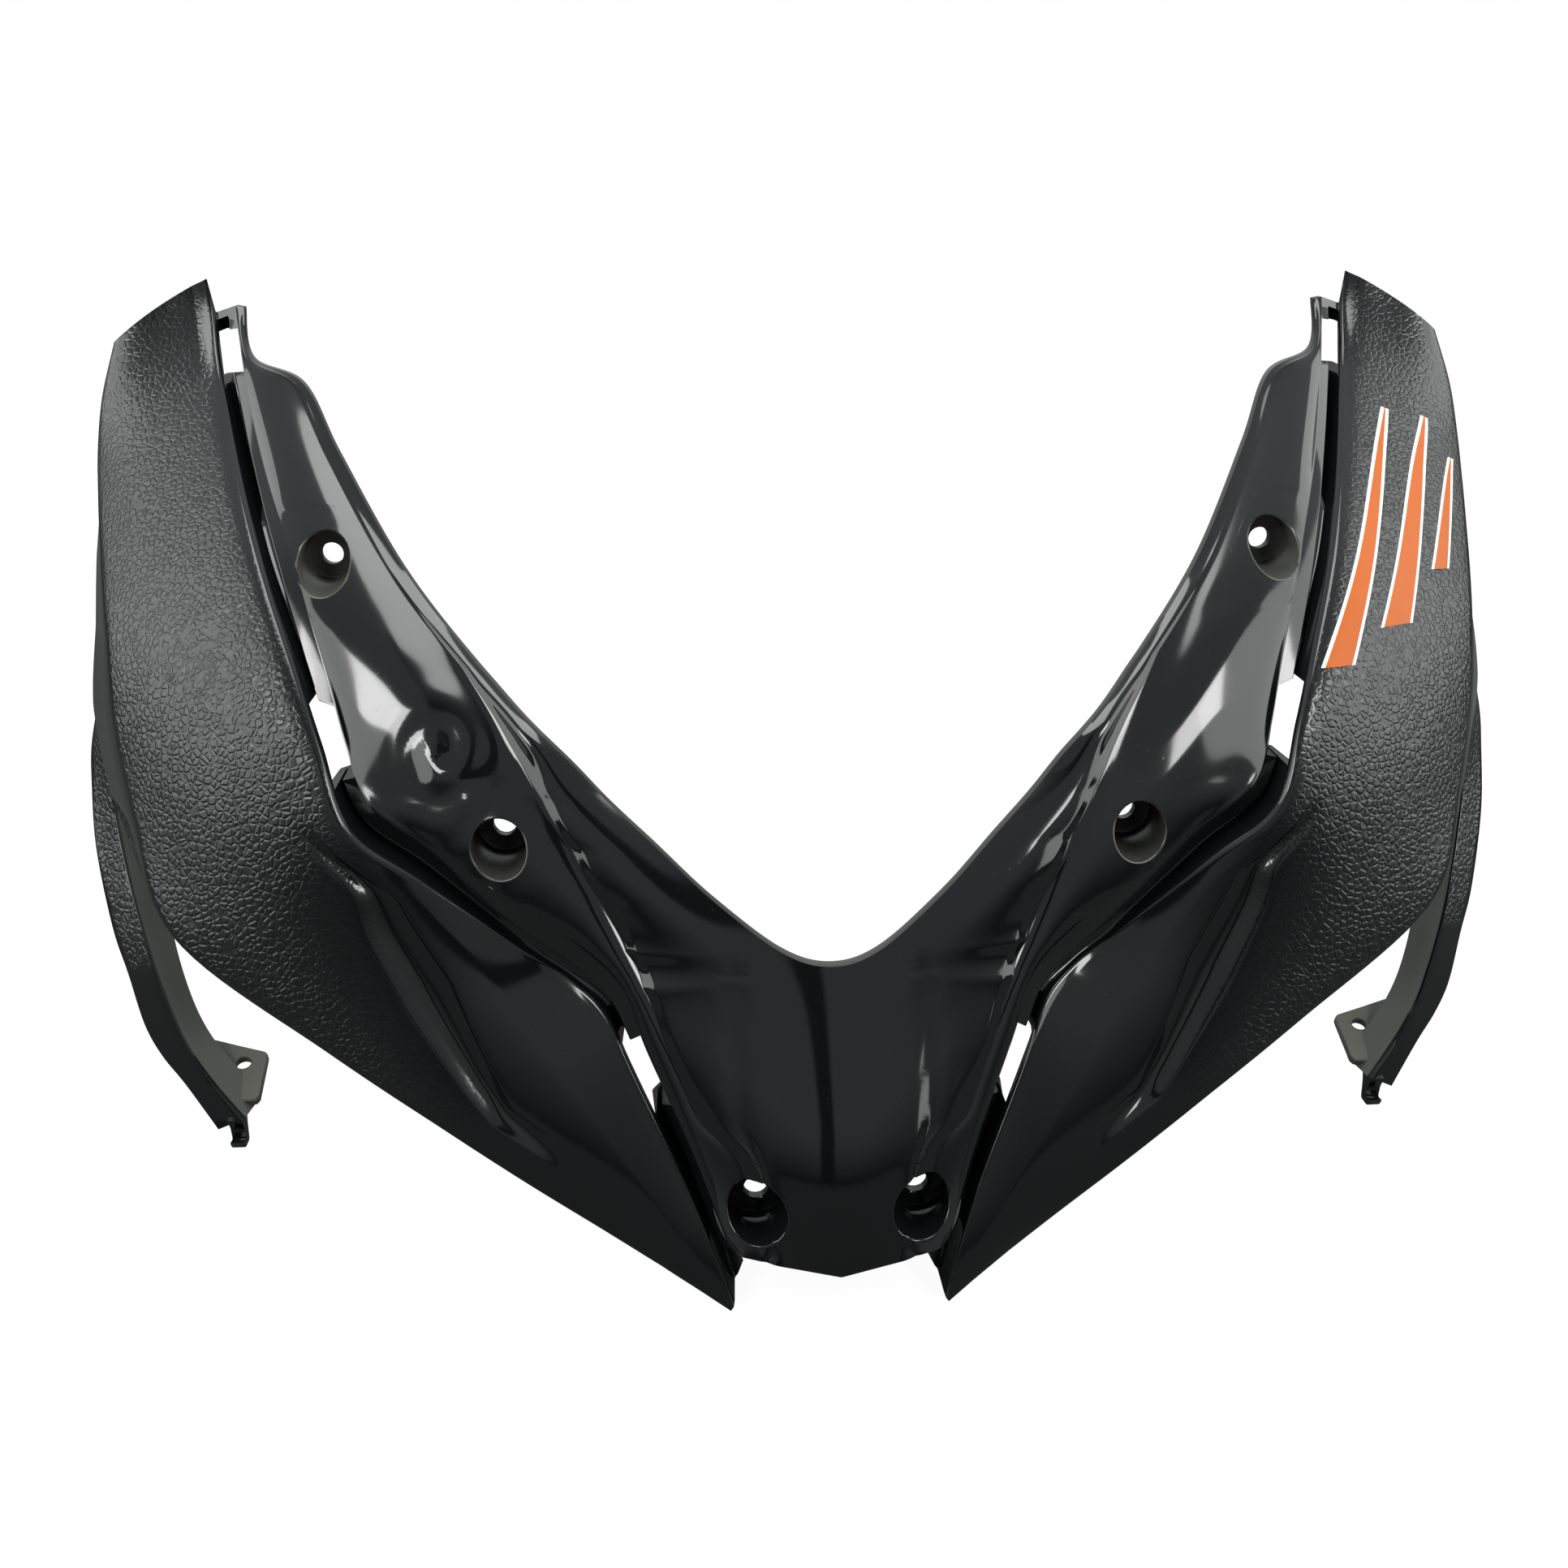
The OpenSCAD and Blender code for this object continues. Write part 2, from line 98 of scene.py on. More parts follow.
def drawn(points: list[list[float]]) -> np.ndarray:
    """Moves drawn rail points into the frame of the screw seats."""
    return np.array(points, float) - np.array([0.0, NOSE_SEAT, 0.0])


def rail(points: np.ndarray, u: np.ndarray) -> np.ndarray:
    """Catmull-Rom curve through the rail's points, at stations u.

    Formula: 0.5 (2b + (c-a) t + (2a-5b+4c-d) t^2 + (3b-3c+d-a) t^3) between neighbours b and c.

    Args:
        points: rail points, one for each whole station.
        u: stations, any shape.

    Returns:
        Points, with a last axis of 3.
    """
    last = len(points) - 1
    i = np.clip(np.floor(u).astype(int), 0, last - 1)
    t = (u - i)[..., None]
    a, b = points[np.maximum(i - 1, 0)], points[i]
    c, d = points[i + 1], points[np.minimum(i + 2, last)]
    square, cube = 2 * a - 5 * b + 4 * c - d, 3 * b - 3 * c + d - a
    return 0.5 * (2 * b + (c - a) * t + square * t ** 2 + cube * t ** 3)


def table(u: np.ndarray, pairs: list[tuple[float, float]]) -> np.ndarray:
    """Looks station values up in a table of (station, value)."""
    xs, ys = zip(*pairs)
    return np.interp(u, xs, ys)


def along(y: np.ndarray | float) -> np.ndarray:
    """Vector of length y along the mould draw, one for each y."""
    y = np.asarray(y, float)
    return np.stack([np.zeros_like(y), y, np.zeros_like(y)], -1)


def flat(v: np.ndarray) -> np.ndarray:
    """The part of a vector square to the mould draw."""
    return v * np.array([1.0, 0.0, 1.0])


def share_grid(first: float, last: float, rows: int, cols: int) -> tuple[np.ndarray, np.ndarray]:
    """Flat arrays that pair every station from first to last with every share from 0 to 1."""
    u, f = np.meshgrid(np.linspace(first, last, rows), np.linspace(0, 1, cols), indexing="ij")
    return u.ravel(), f.ravel()


def cell_corners(ids: np.ndarray) -> tuple[np.ndarray, ...]:
    """The four corners of every cell of a grid, in order round the cell."""
    return ids[:-1, :-1], ids[1:, :-1], ids[1:, 1:], ids[:-1, 1:]


def ring_quads(a: np.ndarray, b: np.ndarray) -> np.ndarray:
    """Quads between two closed rings of point numbers."""
    return np.stack([a, np.roll(a, -1), np.roll(b, -1), b], 1)


def make_mesh(name: str, points: np.ndarray, quads: np.ndarray, extra: list[list[int]] | None = None,
              sharp_deg: float = 40.0, values: dict[str, np.ndarray] | None = None) -> bpy.types.Object:
    """Makes a piece from points in millimetres and quads of point numbers.

    Args:
        name: the piece's name.
        points: points, shape (n, 3), in millimetres. Those that no face uses are left out.
        quads: quads, shape (m, 4).
        extra: faces with another number of corners.
        sharp_deg: edges that turn by more than this stay sharp.
        values: numbers for each point, by name, for the material to read.

    Returns:
        The new object, linked to the scene and shaded smooth.
    """
    faces = quads.tolist() + (extra or [])
    used, where = np.unique(np.concatenate([np.asarray(f) for f in faces]), return_inverse=True)
    ends = np.cumsum([len(f) for f in faces])[:-1]
    mesh = bpy.data.meshes.new(name)
    mesh.from_pydata((points[used] * MM).tolist(), [], [f.tolist() for f in np.split(where, ends)])
    mesh.update()
    mesh.polygons.foreach_set("use_smooth", np.ones(len(mesh.polygons), bool))
    mesh.set_sharp_from_angle(angle=np.radians(sharp_deg))
    for key, numbers in (values or {}).items():
        layer = mesh.attributes.new(key, "FLOAT", "POINT")
        layer.data.foreach_set("value", numbers[used].astype(np.float32))
    obj = bpy.data.objects.new(name, mesh)
    bpy.context.scene.collection.objects.link(obj)
    return obj


@dataclass
class FairSheet:
    """A smooth sheet y(x, z): a polynomial of the given degree, fitted by least squares.

    An even sheet keeps only even powers of x, so that it runs smoothly across the middle plane.
    """

    degree: int
    even: bool = False
    weights: np.ndarray = field(default_factory=lambda: np.zeros(0))

    def terms(self, points: np.ndarray) -> np.ndarray:
        """Products x^i z^j of total degree up to the sheet's, with x and z brought near 1."""
        x, z = points[..., 0] / 120.0, (points[..., 2] - 90.0) / 120.0
        powers = [(i, j) for i in range(0, self.degree + 1, 2 if self.even else 1)
                  for j in range(self.degree + 1 - i)]
        return np.stack([x ** i * z ** j for i, j in powers], -1)

    def fit(self, points: np.ndarray) -> "FairSheet":
        """Fits the sheet to points of shape (n, 3) and returns it."""
        self.weights = np.linalg.lstsq(self.terms(points), points[:, 1], rcond=None)[0]
        log.info("sheet misses its points by %.2f mm rms, %.2f mm at most", *self.miss(points))
        return self

    def miss(self, points: np.ndarray) -> tuple[float, float]:
        """Root mean square and largest distance of the fitted points from the sheet."""
        gap = self.gap(points)
        return float(np.sqrt((gap ** 2).mean())), float(np.abs(gap).max())

    def gap(self, points: np.ndarray) -> np.ndarray:
        """How far points lie behind the sheet, along the draw."""
        return points[..., 1] - self.terms(points) @ self.weights


@dataclass
class MaskRails:
    """The rails that run down half of the mask, and the sizes of its section.

    Stations 0 to 15 run from the wing tip to the lower blade point.
    """

    wall: float = 2.6
    wing_crown: float = 6.0
    leaf_recess: float = 3.5
    side_return: float = 28.0
    fold_roll: float = 2.4
    facet_drop: float = 1.4
    facet_fall: float = 4.0
    slot_depth: float = 10.0
    ledge_depth: float = 4.0
    facet_share: float = 0.56
    panel_crown: float = 2.5
    beak_step: float = 2.0
    step_width: float = 3.0
    beak_crown: float = 2.0
    ridge_round: float = 10.0
    ease: float = 0.45  # stations over which a rail's depth is eased
    side_fold: float = 0.9
    side_fold_half: float = 2.0
    corner_station: float = 11.0
    panel_end: float = 14.0
    windows: tuple[tuple[float, float], ...] = ((0.5, 1.5), (5.5, 6.5), (11.75, 12.5))
    crease: np.ndarray = field(default_factory=lambda: drawn([
        [173.5, 192, 209], [169.5, 178, 195], [166, 166, 184], [158, 144, 165], [146, 115, 143],
        [136, 95, 120.5], [129, 80, 101.5], [122, 69, 88.5], [105, 62, 78], [81.5, 51, 65], [64.5, 44, 55],
        [54.5, 37, 46.5], [48, 29, 31.5], [36.5, 14, 8.5], [28, 0, -9], [23, -7, -19]]))
    wing_edge: np.ndarray = field(default_factory=lambda: drawn([
        [183, 200, 217], [178, 182, 195], [174, 168, 184], [166, 143, 166], [155, 113, 144],
        [143.5, 90, 122], [135, 74, 103.5], [126.5, 62, 82.5], [108, 58, 69.5], [82.5, 54, 51.5],
        [68.5, 47, 44.5], [59.5, 39, 38], [53.5, 30, 27.5], [40, 15, 2.5], [32.5, 5, -13],
        [27.5, -2, -25.5]]))
    outer_fold: np.ndarray = field(default_factory=lambda: drawn([
        [211, 188, 198.5], [214, 177, 183], [214.5, 168, 167], [211.5, 154, 155], [207, 136, 139],
        [202, 116, 120], [199.5, 105, 99], [193, 91, 77], [180.5, 72, 48.5], [137.5, 52.5, 21.5],
        [105, 38, 4.5], [82, 28, -7], [58, 16.5, -17.5], [44, 9, -23], [35, 3, -25.5], [28.4, -2, -27]]))
    opening_edge: np.ndarray = field(default_factory=lambda: drawn([
        [171, 192, 208.5], [167, 179, 194.5], [150, 168, 188], [137, 147, 170], [115.5, 115, 142.5],
        [93, 90, 120.5], [72.5, 70, 104], [58.5, 61.5, 91.5], [44.5, 50, 81], [30, 40, 70], [13, 30.5, 59.5],
        [0, 26.5, 56.5], [-13, 30.5, 59.5]]))
    beak_ridge: np.ndarray = field(default_factory=lambda: drawn([
        [0, 26.5, 56.5], [0, 13, 36], [0, -1, 13], [0, -4.5, -16], [0, -6, -26]]))
    crown_way: np.ndarray = field(default_factory=lambda: unit(np.array([0.45, -0.85, 0.25])))

    def __post_init__(self) -> None:
        """Fits one fair sheet each to the wing, the outer panel and the beak."""
        u, f = share_grid(0, 15, 151, 15)
        self.wing_sheet = FairSheet(7).fit(self.wing(u, f))
        u, f = share_grid(0.5, 14, 136, 11)
        self.panel_sheet = FairSheet(6).fit(self.panel(u, f * (self.step_share(u) - 0.001)))
        u, f = share_grid(6, 14, 81, 15)
        beak = self.panel(u, mix(self.step_end(u), np.ones_like(u), f))
        self.beak_sheet = FairSheet(8, even=True).fit(beak)
        self.even_u = np.linspace(0, 15, 301)
        self.wing_gap = self.eased(self.wing_sheet.gap(rail(self.wing_edge, self.even_u)))
        self.fold_gap = self.eased(self.wing_sheet.gap(rail(self.outer_fold, self.even_u)))
        self.crease_gap = self.eased(self.panel_sheet.gap(rail(self.crease, self.even_u)))

    def eased(self, gap: np.ndarray) -> np.ndarray:
        """Weighted mean of a rail's gaps, with weights exp(-(du / ease)^2)."""
        weight = np.exp(-((self.even_u[:, None] - self.even_u) / self.ease) ** 2)
        return (weight @ gap) / weight.sum(1)

    def wing_line(self, u: np.ndarray) -> np.ndarray:
        """The wing's inner edge, with its depth eased along the rail."""
        points = rail(self.wing_edge, u)
        return points + along(np.interp(u, self.even_u, self.wing_gap) - self.wing_sheet.gap(points))

    def fold_line(self, u: np.ndarray) -> np.ndarray:
        """The wing's outer fold, with its depth eased along the rail."""
        points = rail(self.outer_fold, u)
        return points + along(np.interp(u, self.even_u, self.fold_gap) - self.wing_sheet.gap(points))

    def crease_line(self, u: np.ndarray) -> np.ndarray:
        """The panel's crease, with its depth eased along the rail."""
        points = rail(self.crease, u)
        return points + along(np.interp(u, self.even_u, self.crease_gap) - self.panel_sheet.gap(points))

    def ridge(self, u: np.ndarray) -> np.ndarray:
        """Edge of the screen opening down to the middle plane, then the beak's ridge."""
        c = self.corner_station
        return np.where((u < c)[..., None], rail(self.opening_edge, np.minimum(u, c)),
                        rail(self.beak_ridge, np.maximum(u - c, 0.0)))

    def leaf_near(self, u: np.ndarray) -> np.ndarray:
        """Share of the wing at which the leaf recess starts, from the inner edge."""
        return table(u, [(0, .12), (5, .12), (7, .05), (8, .09), (9, .3), (10, .57), (11, .8), (12, .93),
                         (15, .93)])

    def leaf_far(self, u: np.ndarray) -> np.ndarray:
        """Share of the wing at which the leaf recess ends."""
        return table(u, [(0, .3), (5, .28), (7, .11), (8, .22), (9, .53), (10, .76), (11, .92), (12, .98),
                         (15, .98)])

    def leaf_depth(self, u: np.ndarray) -> np.ndarray:
        """Depth of the leaf recess along the draw."""
        return self.leaf_recess * table(u, [(6.9, 0), (7.8, .8), (9, 1), (10.2, 1), (11.3, 0)])

    def return_depth(self, u: np.ndarray) -> np.ndarray:
        """Rearward length of the side return."""
        return self.side_return * table(u, [(0, .2), (1, .26), (2, .45), (3, .75), (4, .95), (5, 1), (6, .95),
                                            (7, .8), (8, .42), (9, .3), (13, .25), (15, .22)])

    def return_splay(self, u: np.ndarray) -> np.ndarray:
        """Sideways lean of the side return for each unit of its length."""
        return table(u, [(0, .1), (2, .15), (3, .3), (4, .38), (5, .44), (6, .55), (7, .6), (8, .35), (9, 0),
                         (15, 0)])

    def slot(self, u: np.ndarray) -> np.ndarray:
        """Depth of the slot beside the facet."""
        s, k = self.slot_depth, self.ledge_depth
        return table(u, [(0, s), (3.4, s), (3.6, k), (5.4, k), (5.5, s), (6.6, s), (6.8, k), (11, k),
                         (11.5, s), (15, s)])

    def channel_open(self, u: np.ndarray) -> np.ndarray:
        """0 on the wall that closes the channel's top end, 1 where the floor lies at its full depth."""
        return table(u, [(0, 0), (.2, 0), (.3, 1), (15, 1)])

    def channel_side(self, u: np.ndarray) -> np.ndarray:
        """The wing's edge beside the channel, which starts a little below the wing tip."""
        return self.wing_line(table(u, [(0, .5), (.5, .7), (1, 1), (15, 15)]))

    def facet_depth(self, u: np.ndarray) -> np.ndarray:
        """Depth of the facet's outer edge behind the crease."""
        return self.facet_drop + table(u, [(0, 0), (11.5, 0), (12.5, self.facet_fall), (15, self.facet_fall)])

    def facet_width(self, u: np.ndarray) -> np.ndarray:
        """Share of the channel's width that the facet takes."""
        return self.facet_share * table(u, [(0, .75), (2, .75), (3, .82), (4, .97), (4.5, 1.12), (5, 1.3),
                                            (6.5, 1.36), (7.2, 1.1), (8, 1), (15, 1.05)])

    def floor_depth(self, u: np.ndarray, x: np.ndarray, deep: np.ndarray) -> np.ndarray:
        """Depth of the channel floor at share x of its width: a closed slope blended into the open depth."""
        slope = x * (self.channel_side(u)[..., 1] - self.crease_line(u)[..., 1] + 2)
        return mix(slope, deep, self.channel_open(u))

    def step_share(self, u: np.ndarray) -> np.ndarray:
        """Share of the way from crease to opening at which the beak step starts."""
        return table(u, [(0, .8), (4, .84), (5, .9), (6, .8), (7, .74), (8, .62), (9, .43), (10, .22),
                         (11, .1), (12, .12), (13, .15), (14, .16)])

    def fold_share(self, u: np.ndarray) -> np.ndarray:
        """Share at which the beak's side fold runs."""
        return table(u, [(0, .93), (5, .96), (8, .9), (9, .86), (10, .76), (11, .53), (12, .47), (13, .36),
                         (14, .3)])

    def across(self, u: np.ndarray) -> np.ndarray:
        """Distance from the crease to the opening or the beak's ridge."""
        return np.linalg.norm(self.ridge(u) - rail(self.crease, u), axis=-1)

    def step_end(self, u: np.ndarray) -> np.ndarray:
        """Share at which the beak step ends."""
        s = self.step_share(u)
        return s + np.minimum(self.step_width / np.maximum(1.0, self.across(u)), 0.25 * (1.0 - s))

    def wing(self, u: np.ndarray, f: np.ndarray | float) -> np.ndarray:
        """Wing face: a straight blend from inner edge to fold, lifted by crown sin(pi f)."""
        a, b = rail(self.wing_edge, u), rail(self.outer_fold, u)
        f = np.broadcast_to(np.asarray(f, float), u.shape)
        lift = self.wing_crown * np.sin(np.pi * f) * np.minimum(1.0, np.linalg.norm(b - a, axis=-1) / 90.0)
        return mix(a, b, f) + self.crown_way * lift[..., None]

    def wing_face(self, u: np.ndarray, f: np.ndarray | float) -> np.ndarray:
        """Wing face on its fair sheet, led back to the rails by (1-f)^4 and f^4 of their gaps."""
        f = np.broadcast_to(np.asarray(f, float), u.shape)
        points = self.wing(u, f)
        inner, outer = (np.interp(u, self.even_u, gap) for gap in (self.wing_gap, self.fold_gap))
        return points + along((1 - f) ** 4 * inner + f ** 4 * outer - self.wing_sheet.gap(points))

    def panel_face(self, u: np.ndarray, h: np.ndarray | float) -> np.ndarray:
        """Panel face on its fair sheets.

        The outer part is led to the crease by (1-q)^4 of the gap there, with q = h / step share. The beak is
        led to its step by (1-r)^3, with r from 0 at the step to 1 in the middle, and a shallow fold
        side_fold exp(-(distance / half)^2) runs down each side.
        """
        h = np.broadcast_to(np.asarray(h, float), u.shape)
        points, q = self.panel(u, h), np.minimum(1.0, h / self.step_share(u))
        lead = (1 - q) ** 4 * np.interp(u, self.even_u, self.crease_gap)
        outer = points + along(lead - self.panel_sheet.gap(points))
        s, e = self.step_share(u), self.step_end(u)
        foot, top = self.panel(u, s - 0.001), self.panel(u, e)
        raised = self.beak_step * np.clip((u - 4) / 2, 0, 1) * np.clip((15 - u) / 2, 0, 1)
        share = smooth((u - 5.0) / 2.0)
        base = points - along(share * self.beak_sheet.gap(points))
        start = top[..., 1] - share * self.beak_sheet.gap(top)
        want = foot[..., 1] - self.panel_sheet.gap(foot) - raised
        r = np.clip((h - e) / (1 - e), 0.0, 1.0)
        away = (h - np.maximum(self.fold_share(u), e)) * self.across(u)
        fold = self.side_fold * smooth((u - 9.5) / 1.5) * np.exp(-(away / self.side_fold_half) ** 2)
        inner = base + along((1 - r) ** 3 * (want - start) + fold)
        return mix(points, np.where((h > s)[..., None], inner, outer), smooth((u - 0.3) / 1.5))

    def panel(self, u: np.ndarray, h: np.ndarray | float) -> np.ndarray:
        """Panel face: a straight blend from crease to opening, lifted by a sine on each side of the step.

        The beak's ridge is rounded by adding slope (R - x)^2 / 2R within R of the middle plane.
        """
        a, b, s = rail(self.crease, u), self.ridge(u), self.step_share(u)
        h = np.broadcast_to(np.asarray(h, float), u.shape)
        beak = np.where(u < 4, 0.0, np.minimum(1.0, (u - 4) / 2) * np.minimum(1.0, (15 - u) / 2))
        outer = self.panel_crown * np.sin(np.pi * np.minimum(1.0, h / s)) * np.minimum(1.0, u / 3)
        arch = self.beak_crown * np.sin(np.pi * (h - s) / (1 - s)) + self.beak_step * (1 - h) / (1 - s)
        inner = beak * arch
        fall = beak * (np.pi * self.beak_crown + self.beak_step) / (1 - s)
        slope = (a[..., 1] - b[..., 1] - fall) / a[..., 0]
        blend = np.maximum(0.0, self.ridge_round - a[..., 0] * (1 - h)) ** 2 / (2 * self.ridge_round)
        ridge = np.where(u < self.corner_station, 0.0, slope * blend)
        return mix(a, b, h) - along(outer + np.where(h > s, inner, 0.0) - ridge)


@dataclass
class ScrewWell:
    """A pocket for a screw head, sunk into the panel along the draw."""

    x: float
    z: float
    seat: float
    bore: float = 15.0
    hole: float = 6.4
    floor: float = 2.8
    lip: float = 0.6
    cup_wall: float = 2.6
    # Share of the bare grey-brown: it dulls the pocket and paints the light on its walls into their colour
    matte_and_lit: float = 0.0


@dataclass
class Strand:
    """A column of the section: its points, how far the wall's back lies behind it, and its corner radius."""

    front: np.ndarray
    behind: np.ndarray
    radius: float = 0.0
    grain: np.ndarray | float = 0.0


@dataclass
class FairingShell:
    """The moulded mask: two wings, light channels, panels, beak and screw wells in one closed wall."""

    rails: MaskRails = field(default_factory=MaskRails)
    row_pitch: float = 2.0
    corner_steps: int = 4
    panel_steps: int = 32
    beak_steps: int = 14
    # The two upper wells get painted light: bare grey-brown on their pocket walls, in place of the light
    # those walls catch
    wells: tuple[ScrewWell, ...] = (ScrewWell(21, 0, 0), ScrewWell(87, 79, 62, matte_and_lit=0.3),
                                    ScrewWell(138, 144, 116, matte_and_lit=0.5))
    bend_room: int = 8
    back_matte_and_lit: float = 0.5

    def stations(self) -> np.ndarray:
        """Stations of the rows, about row_pitch apart, with one on each break of the channel.

        Returns:
            Rising stations from 0 to 15.
        """
        r = self.rails
        stops = sorted({0.0, 0.2, 0.3, 3.4, 3.6, 5.4, 6.6, 6.8, 11.5, 15.0, r.corner_station, r.panel_end,
                        *[v for w in r.windows for v in w]})
        out = [np.array([0.0])]
        for a, b in zip(stops, stops[1:]):
            u = np.linspace(a, b, 33)
            span = max(np.linalg.norm(np.diff(rail(p, u), axis=0), axis=1).sum()
                       for p in (r.crease, r.wing_edge))
            out.append(np.linspace(a, b, max(1, int(np.ceil(span / self.row_pitch))) + 1)[1:])
        return np.concatenate(out)

    def strands(self, u: np.ndarray) -> list[Strand]:
        """The section's columns, from the rear of the side return to the middle.

        Args:
            u: stations of the rows.

        Returns:
            Strands in order. Sideways moves shrink where the wing narrows to a point.
        """
        r = self.rails
        # p is the crease, w the wing's inner edge, o its outer fold, v the opening, c the channel's far side
        p, w, o, v = r.crease_line(u), r.wing_line(u), r.fold_line(u), r.ridge(u)
        c = r.channel_side(u)
        g, inward = unit(flat(c - p)), unit(flat(w - o))
        length = np.linalg.norm(flat(c - p), axis=1)
        span = np.linalg.norm(w - o, axis=1)
        t = np.minimum(r.wall, span * 0.12)
        roll, lip = np.minimum(r.fold_roll, span * 0.08), np.minimum(1.5, span * 0.06)
        face_end = 1 - (roll + t * 0.4) / span
        roll_end = np.maximum(r.leaf_near(u) / 2, (lip + t * 1.1 + span * 0.01) / span)
        near = np.minimum(np.maximum(r.leaf_near(u), roll_end + 0.05), face_end - 0.25)
        far = np.minimum(np.maximum(r.leaf_far(u), near + 0.08), face_end - 0.12)
        back, splay, s, step_end = r.return_depth(u), r.return_splay(u), r.step_share(u), r.step_end(u)
        edge = np.linalg.norm(v - p, axis=1)
        k = np.minimum(r.wall, edge * 0.6)
        draw = along(np.full_like(u, 1.3 * r.wall))
        wall = along(np.full_like(u, r.wall))

        width, facet = r.facet_width(u), r.facet_depth(u)
        near_side, far_side = width + 0.03, width + (1 - width) * 0.7
        rim = r.floor_depth(u, width, facet)

        def col(x: np.ndarray) -> np.ndarray:
            """One number a row, ready to scale vectors."""
            return x[:, None]

        def grain(f: np.ndarray) -> np.ndarray:
            """Share of leather grain at the wing's share f."""
            return self.grain_share(u, f, f * span)

        side = inward * col(t)
        # Side return, from its rear edge, and the rolled outer fold
        out = [Strand(o - inward * col(splay * back) + along(back), side)]
        for q in (0.66, 0.33, 0.0):
            depth = roll + (back - roll) * q
            out.append(Strand(o - inward * col(splay * depth) + along(depth), side + draw * (1 - q)))
        out += [Strand(o + inward * col(roll * 0.12) + along(roll * 0.06), side * 0.8 + draw, 1.6,
                       0.5 * grain(face_end)),
                Strand(r.wing_face(u, 1 - roll / span), side * 0.4 + draw, 0.0, grain(face_end))]
        # Wing face, with the leaf recess as (share of the wing, share of the depth, corner radius)
        for q in np.linspace(0.94, 0.06, 7):
            f = mix(far, face_end, q)
            out.append(Strand(r.wing_face(u, f), draw, 0.0, grain(f)))
        leaf = along(r.leaf_depth(u))
        for f, share, radius in ((far, 0.0, 3.0), (mix(near, far, 0.55), 1.25, 2.5),
                                 (mix(near, far, 0.1), 0.7, 0.4), (near, 0.0, 0.4)):
            out.append(Strand(r.wing_face(u, f) + share * leaf, draw, radius, grain(f)))
        for q in np.linspace(0.8, 0.0, 5):
            f = mix(roll_end, near, q)
            out.append(Strand(r.wing_face(u, f), draw, 0.0, grain(f)))
        # Rolled inner edge, slot, facet and crease
        out += [Strand(w - inward * col(lip), wall - side * 0.9, 1.0,
                       self.grain_share(u, 0 * u, np.full_like(u, 2.6))),
                Strand(w + along(np.full_like(u, 0.4)) - inward * col(lip * 0.3),
                       along(np.full_like(u, r.wall + 0.6)) - side * 0.95, 0.5),
                Strand(p + g * col(0.95 * length) + along(c[:, 1] - p[:, 1] + 2), wall - side, 0.6),
                Strand(p + g * col(far_side * length) + along(r.floor_depth(u, far_side, facet + r.slot(u))),
                       wall + g * col(t * 0.9 * r.channel_open(u)), 0.6),
                Strand(p + g * col(near_side * length)
                       + along(r.floor_depth(u, near_side, facet + r.slot(u))), wall - g * col(k), 0.5),
                Strand(p + g * col(width * length) + along(rim),
                       wall * col(np.maximum(0.2, 1.05 - rim * 0.15)) - g * col(k), 0.5),
                Strand(p, draw - g * col(k * 0.3 * np.clip((edge - 6) / 10, 0, 1)), 0.45)]
        # Panel, beak step and beak
        for q in np.linspace(0, 1, self.panel_steps + 1)[1:-1]:
            out.append(Strand(r.panel_face(u, s * q), draw))
        out += [Strand(r.panel_face(u, s - 0.001), draw, 0.8), Strand(r.panel_face(u, step_end), draw, 0.7)]
        for q in np.linspace(0, 1, self.beak_steps + 1)[1:]:
            out.append(Strand(r.panel_face(u, mix(step_end, np.ones_like(s), q)), draw))
        return out

    def grain_share(self, u: np.ndarray, f: np.ndarray, inset: np.ndarray) -> np.ndarray:
        """How strongly the leather grain shows.

        It starts inset from the wing's inner edge, is faint at the very tip and fades out down the blade,
        later near the outer fold.

        Args:
            u: stations.
            f: shares across the wing.
            inset: distance from the inner edge, in millimetres.

        Returns:
            Shares from 0 to 1.
        """
        tip = table(u, [(0, .4), (1.5, .8), (3, 1), (15, 1)])
        return smooth((inset - 1) / 3.5) * tip * (1 - smooth((u - 5.8 - 3.2 * f) / 2.4))

    def columns(self, u: np.ndarray) -> tuple[np.ndarray, np.ndarray, np.ndarray, dict[str, int]]:
        """Rounds the section's corners and lays the columns side by side.

        A corner P with neighbours A and B becomes the curve (1-t)^2 A' + 2t(1-t) P + t^2 B', where A' and B'
        lie one radius from P on the way to A and B.

        Args:
            u: stations of the rows.

        Returns:
            Front points and back points, shape (rows, columns, 3), the grain share, shape (rows, columns),
            and the first and last column of the wing's lip, the slot's two corners and the crease.
        """
        strands = self.strands(u)
        front, back, grain, marks = [], [], [], {}
        crease = len(strands) - 2 - self.beak_steps - self.panel_steps
        names = {crease - 4: "lip", crease - 3: "slot_out", crease - 2: "slot_in", crease: "crease"}
        for n, strand in enumerate(strands):
            share = np.broadcast_to(np.asarray(strand.grain, float), u.shape)
            first = len(front)
            if strand.radius and 0 < n < len(strands) - 1:
                ways = []
                for other in (strands[n - 1].front, strands[n + 1].front):
                    way = other - strand.front
                    reach = np.minimum(strand.radius, 0.45 * np.linalg.norm(way, axis=1))
                    ways.append(strand.front + unit(way) * reach[:, None])
                for t in np.linspace(0, 1, self.corner_steps):
                    front.append((1 - t) ** 2 * ways[0] + 2 * t * (1 - t) * strand.front + t * t * ways[1])
                    back.append(front[-1] + strand.behind)
                    grain.append(share)
            else:
                front.append(strand.front)
                back.append(strand.front + strand.behind)
                grain.append(share)
            if n in names:
                marks[names[n] + "_0"], marks[names[n] + "_1"] = first, len(front) - 1
        return np.stack(front, 1), np.stack(back, 1), np.stack(grain, 1), marks

